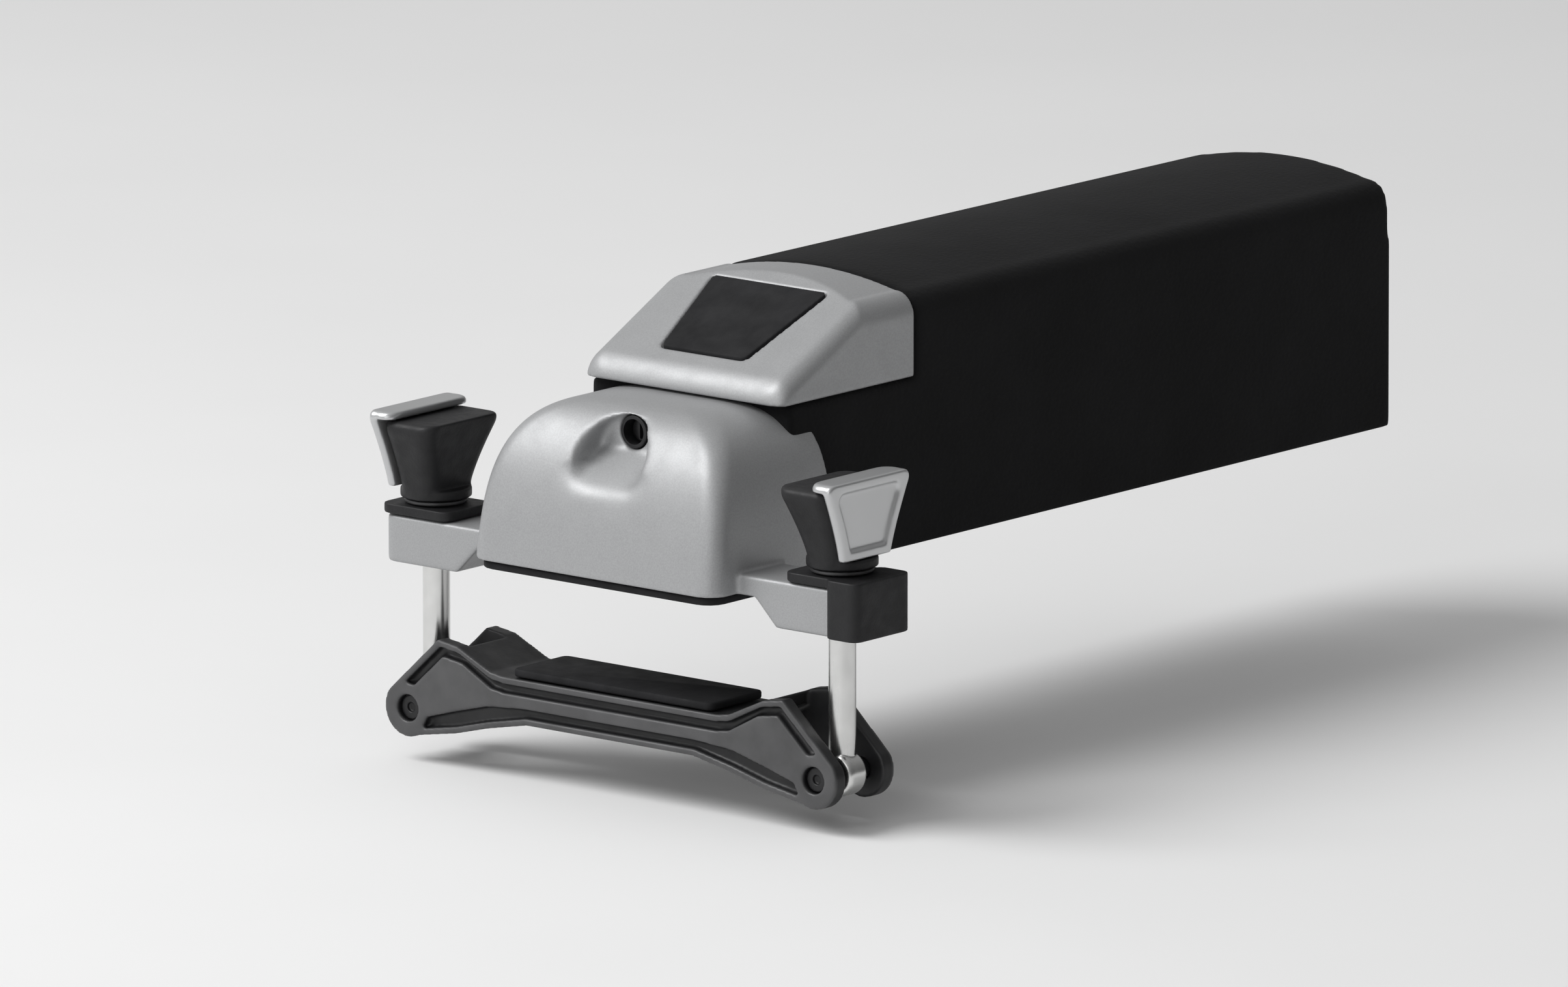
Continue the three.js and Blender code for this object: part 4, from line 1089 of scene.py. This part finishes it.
def knob_core(end, side):
    """The black knob on its round foot, bored for the bolt and pocketed for the nut."""
    y = side * BOLT_Y
    core = piece_from(f"knob_{end}", knob_solid(0, inner_face, outer_face,
                                                CORE_LOW.z + FOOT_HEIGHT / 2, CORE_HIGH.z, side))
    nut_room = circle(0, y, NUT_RADIUS + GAP, 6)
    worked(core, ("UNION", drum("z", (0, y), FOOT_RADIUS, CORE_LOW.z, CORE_LOW.z + FOOT_HEIGHT)),
           ("DIFFERENCE", drum("z", (0, y), BOLT_RADIUS + GAP, -TOOL_END,
                               COVER_HIGH.z - BORE_TOP)),
           ("DIFFERENCE", prism("z", nut_room, -TOOL_END, NUT_HIGH.z + GAP)))
    moulded(core, *CORE_SKIN)
    return add(core, f"knob_{end}", BLACK, "black_plastic", f"knob_core_{end}")


def knob_cover(end, side):
    """The bright face plate and lid of a knob, with a shallow dish inside a raised rim."""
    foot = CORE_LOW.z + FOOT_HEIGHT + GAP
    top = COVER_HIGH.z
    cover = piece_from(f"cover_{end}", knob_solid(COVER_OVERHANG, cover_back, cover_front, foot,
                                                  top, side))
    lid = knob_solid(COVER_OVERHANG, lambda s: COVER_LIP_INSET - INNER_HIGH, cover_front,
                     top - COVER_LIP, top, side)
    dish = knob_solid(-COVER_RIM, lambda s: cover_front(s) - COVER_DISH,
                      lambda s: cover_front(s) + 2 * SPILL, foot + COVER_RIM, top - COVER_RIM, side)
    worked(cover, ("UNION", lid), ("DIFFERENCE", dish))
    moulded(cover, *COVER_SKIN)
    return add(cover, f"knob_{end}", COVER, "silver_cover", f"knob_cover_{end}")


def rear_seat():
    """The plain seat under the rear knob."""
    plan = rounded_rectangle(SEAT_LOW.x, SEAT_HIGH.x, SEAT_LOW.y, SEAT_HIGH.y, SEAT_CORNER)
    seat = piece_from("seat_plate", prism("z", plan, SEAT_LOW.z, SEAT_HIGH.z))
    worked(seat, ("DIFFERENCE", bolt_hole(1)))
    moulded(seat, *SEAT_SKIN)
    return add(seat, "carrier", BLACK, "black_plastic", "knob_seat_rear")


def front_seat():
    """The seat under the front knob, whose boot wraps round the flange's end."""
    tip = HOUSING_LOW.y - GAP
    top = SEAT_HIGH.z
    plan = rounded_rectangle(SEAT_LOW.x, SEAT_HIGH.x, tip, BOOT_HIGH.y, SEAT_CORNER)
    seat = piece_from("seat_boot", prism("z", plan, SEAT_LOW.z, top))
    outer = rounded_rectangle(BOOT_LOW.x, BOOT_HIGH.x, BOOT_LOW.y, tip + BOOT_REACH, BOOT_CORNER)
    inner = rounded_rectangle(-FLANGE_HALF - GAP, FLANGE_HALF + GAP, tip, 0, FLANGE_CORNER)
    boot = piece_from("boot", prism("z", outer, BOOT_LOW.z, top))
    worked(boot, ("DIFFERENCE", prism("z", inner, -TOOL_END, SEAT_LOW.z)))
    worked(seat, ("UNION", as_tool(boot)), ("DIFFERENCE", bolt_hole(-1)))
    moulded(seat, *BOOT_SKIN)
    return add(seat, "carrier", BLACK, "black_plastic", "knob_seat_front")


def washer(end, side):
    """The dull washer between a knob and its seat."""
    section = rounded_profile(BOLT_RADIUS + BOLT_HOLE_GAP, WASHER_RADIUS, WASHER_LOW.z,
                              WASHER_HIGH.z, WASHER_EDGE)
    ring = piece_from(f"washer_{end}", turned(section, "z", (0, side * BOLT_Y)))
    shade(ring)
    return add(ring, "carrier", DULL_STEEL, "steel", f"knob_washer_{end}")


def lock_barrel():
    """The lock's sleeve, which lines the hole in the scoop."""
    section = rounded_profile(BARREL_RADIUS - BARREL_WALL, BARREL_RADIUS, BARREL_LOW.x,
                              BARREL_HIGH.x, BARREL_EDGE)
    # The sleeve's near-black steel is partly painted shade inside the lock's hole
    sleeve = piece_from("barrel_sleeve", turned(section, "x", (0, LOCK_Z)))
    shade(sleeve)
    return add(sleeve, "carrier", DARK_STEEL, "dark_steel", "lock_barrel")


# The pieces

housing()
cap()
cap_inset()
pad()
arm()
lock_barrel()
rear_seat()
front_seat()
for end, side in (("front", -1), ("rear", 1)):
    eye_bolt(end, side)
    arm_pin(end, side)
    knob_core(end, side)
    knob_cover(end, side)
    washer(end, side)
    eased_piece(f"pin_clip_{end}", f"clip_{end}", 0.12, "clamp_arm", DARK_STEEL, "dark_steel")
    eased_piece(f"cap_screw_{end}", f"long_screw_{end}", 0.3, "carrier", STEEL, "steel")
eased_piece("pad_tray", "tray", 0.4, "carrier", BLACK, "black_plastic")
eased_piece("seat_rubber", "seat_sheet", 0.4, "carrier", RUBBER, "rubber")
eased_piece("arm_rubber", "arm_sheet", 0.5, "clamp_arm", RUBBER, "rubber")
# The plug's near-black steel is partly painted shade deep in the lock's hole
eased_piece("lock_core", "lock_plug", 0.12, "lock", DARK_STEEL, "dark_steel")
eased_piece("bridge_plate", "bridge", 0.25, "carrier", STEEL, "steel")


# Finishes of the frame nodes that stay as they are
KEPT = {"lock_tongue": STEEL}
for end in ("front", "rear"):
    KEPT[f"tray_screw_{end}"] = STEEL
    KEPT[f"knob_nut_{end}"] = STEEL
for node, material in KEPT.items():
    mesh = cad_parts[node].data
    mesh.materials.clear()
    mesh.materials.append(material)


# Floor, light and camera

ARM_TRAVEL = 6
FLOOR_HALF = 6000
FLOOR_GAP = 0.2
CAMERA_PLACE = Vector((-3756, -3162, 1040))
CAMERA_TARGET = Vector((52, -2, 12))
CAMERA_LENS = 485
CAMERA_REACH = 50
LIGHT_TARGET = Vector((40, 0, 10))
# Each lamp's name, place, size in metres and power
LAMPS = (("key", (-1100, 1000, 1700), 1.6, 40), ("front", (-1700, -500, 700), 1.4, 5))
SKY_BRIGHT_WAY = (-0.35, 0.75, 0.55)
SKY_SPREAD = 0.9
SKY_DARK = 0.06
SKY_BRIGHT = 0.56


def floor():
    """The arm hangs free above the floor at rest, and reaches it when it is fully lowered."""
    bm = bmesh.new()
    bmesh.ops.create_grid(bm, x_segments=2, y_segments=2, size=FLOOR_HALF)
    bmesh.ops.translate(bm, vec=(0, 0, ARM_LOW.z - ARM_TRAVEL - FLOOR_GAP), verts=bm.verts)
    sheet = piece_from("floor", bm)
    paper = Finish("floor_paper", (0.86, 0.86, 0.86), 0.9)
    paper.vary_colour(paper.noise(6, 3), 0.985, 1.01)
    sheet.data.materials.append(paper.material)


def placed(name, data, place, target):
    """An object for a lamp or a camera at a place, looking at its target."""
    thing = bpy.data.objects.new(name, data)
    thing.location = place * MM
    thing.rotation_mode = "QUATERNION"
    thing.rotation_quaternion = (target - place).to_track_quat("-Z", "Y")
    bpy.context.scene.collection.objects.link(thing)
    return thing


def lamp(name, place, size, power):
    """A soft round lamp that looks at the part."""
    light = bpy.data.lights.new(name, "AREA")
    light.shape = "DISK"
    light.size = size
    light.energy = power
    placed(name, light, Vector(place), LIGHT_TARGET)


def studio():
    """Two soft lamps, and a soft sky that is darker on the side away from the key lamp."""
    world = bpy.data.worlds.new("studio")
    world.use_nodes = True
    tree = world.node_tree
    back = tree.nodes["Background"]
    place = tree.nodes.new("ShaderNodeTexCoord")
    side = tree.nodes.new("ShaderNodeVectorMath")
    side.operation = "DOT_PRODUCT"
    side.inputs[1].default_value = SKY_BRIGHT_WAY
    tree.links.new(place.outputs["Generated"], side.inputs[0])
    ramp = tree.nodes.new("ShaderNodeMapRange")
    ramp.inputs["From Min"].default_value = -SKY_SPREAD
    ramp.inputs["From Max"].default_value = SKY_SPREAD
    ramp.inputs["To Min"].default_value = SKY_DARK
    ramp.inputs["To Max"].default_value = SKY_BRIGHT
    tree.links.new(side.outputs["Value"], ramp.inputs["Value"])
    tree.links.new(ramp.outputs["Result"], back.inputs["Strength"])
    back.inputs["Color"].default_value = (1, 1, 1, 1)
    bpy.context.scene.world = world
    for values in LAMPS:
        lamp(*values)


def camera():
    """The camera at the photograph's angle."""
    eye = bpy.data.cameras.new("camera")
    eye.lens = CAMERA_LENS
    eye.clip_end = CAMERA_REACH
    bpy.context.scene.camera = placed("camera", eye, CAMERA_PLACE, CAMERA_TARGET)


floor()
studio()
camera()
bpy.context.scene.view_settings.view_transform = "Standard"
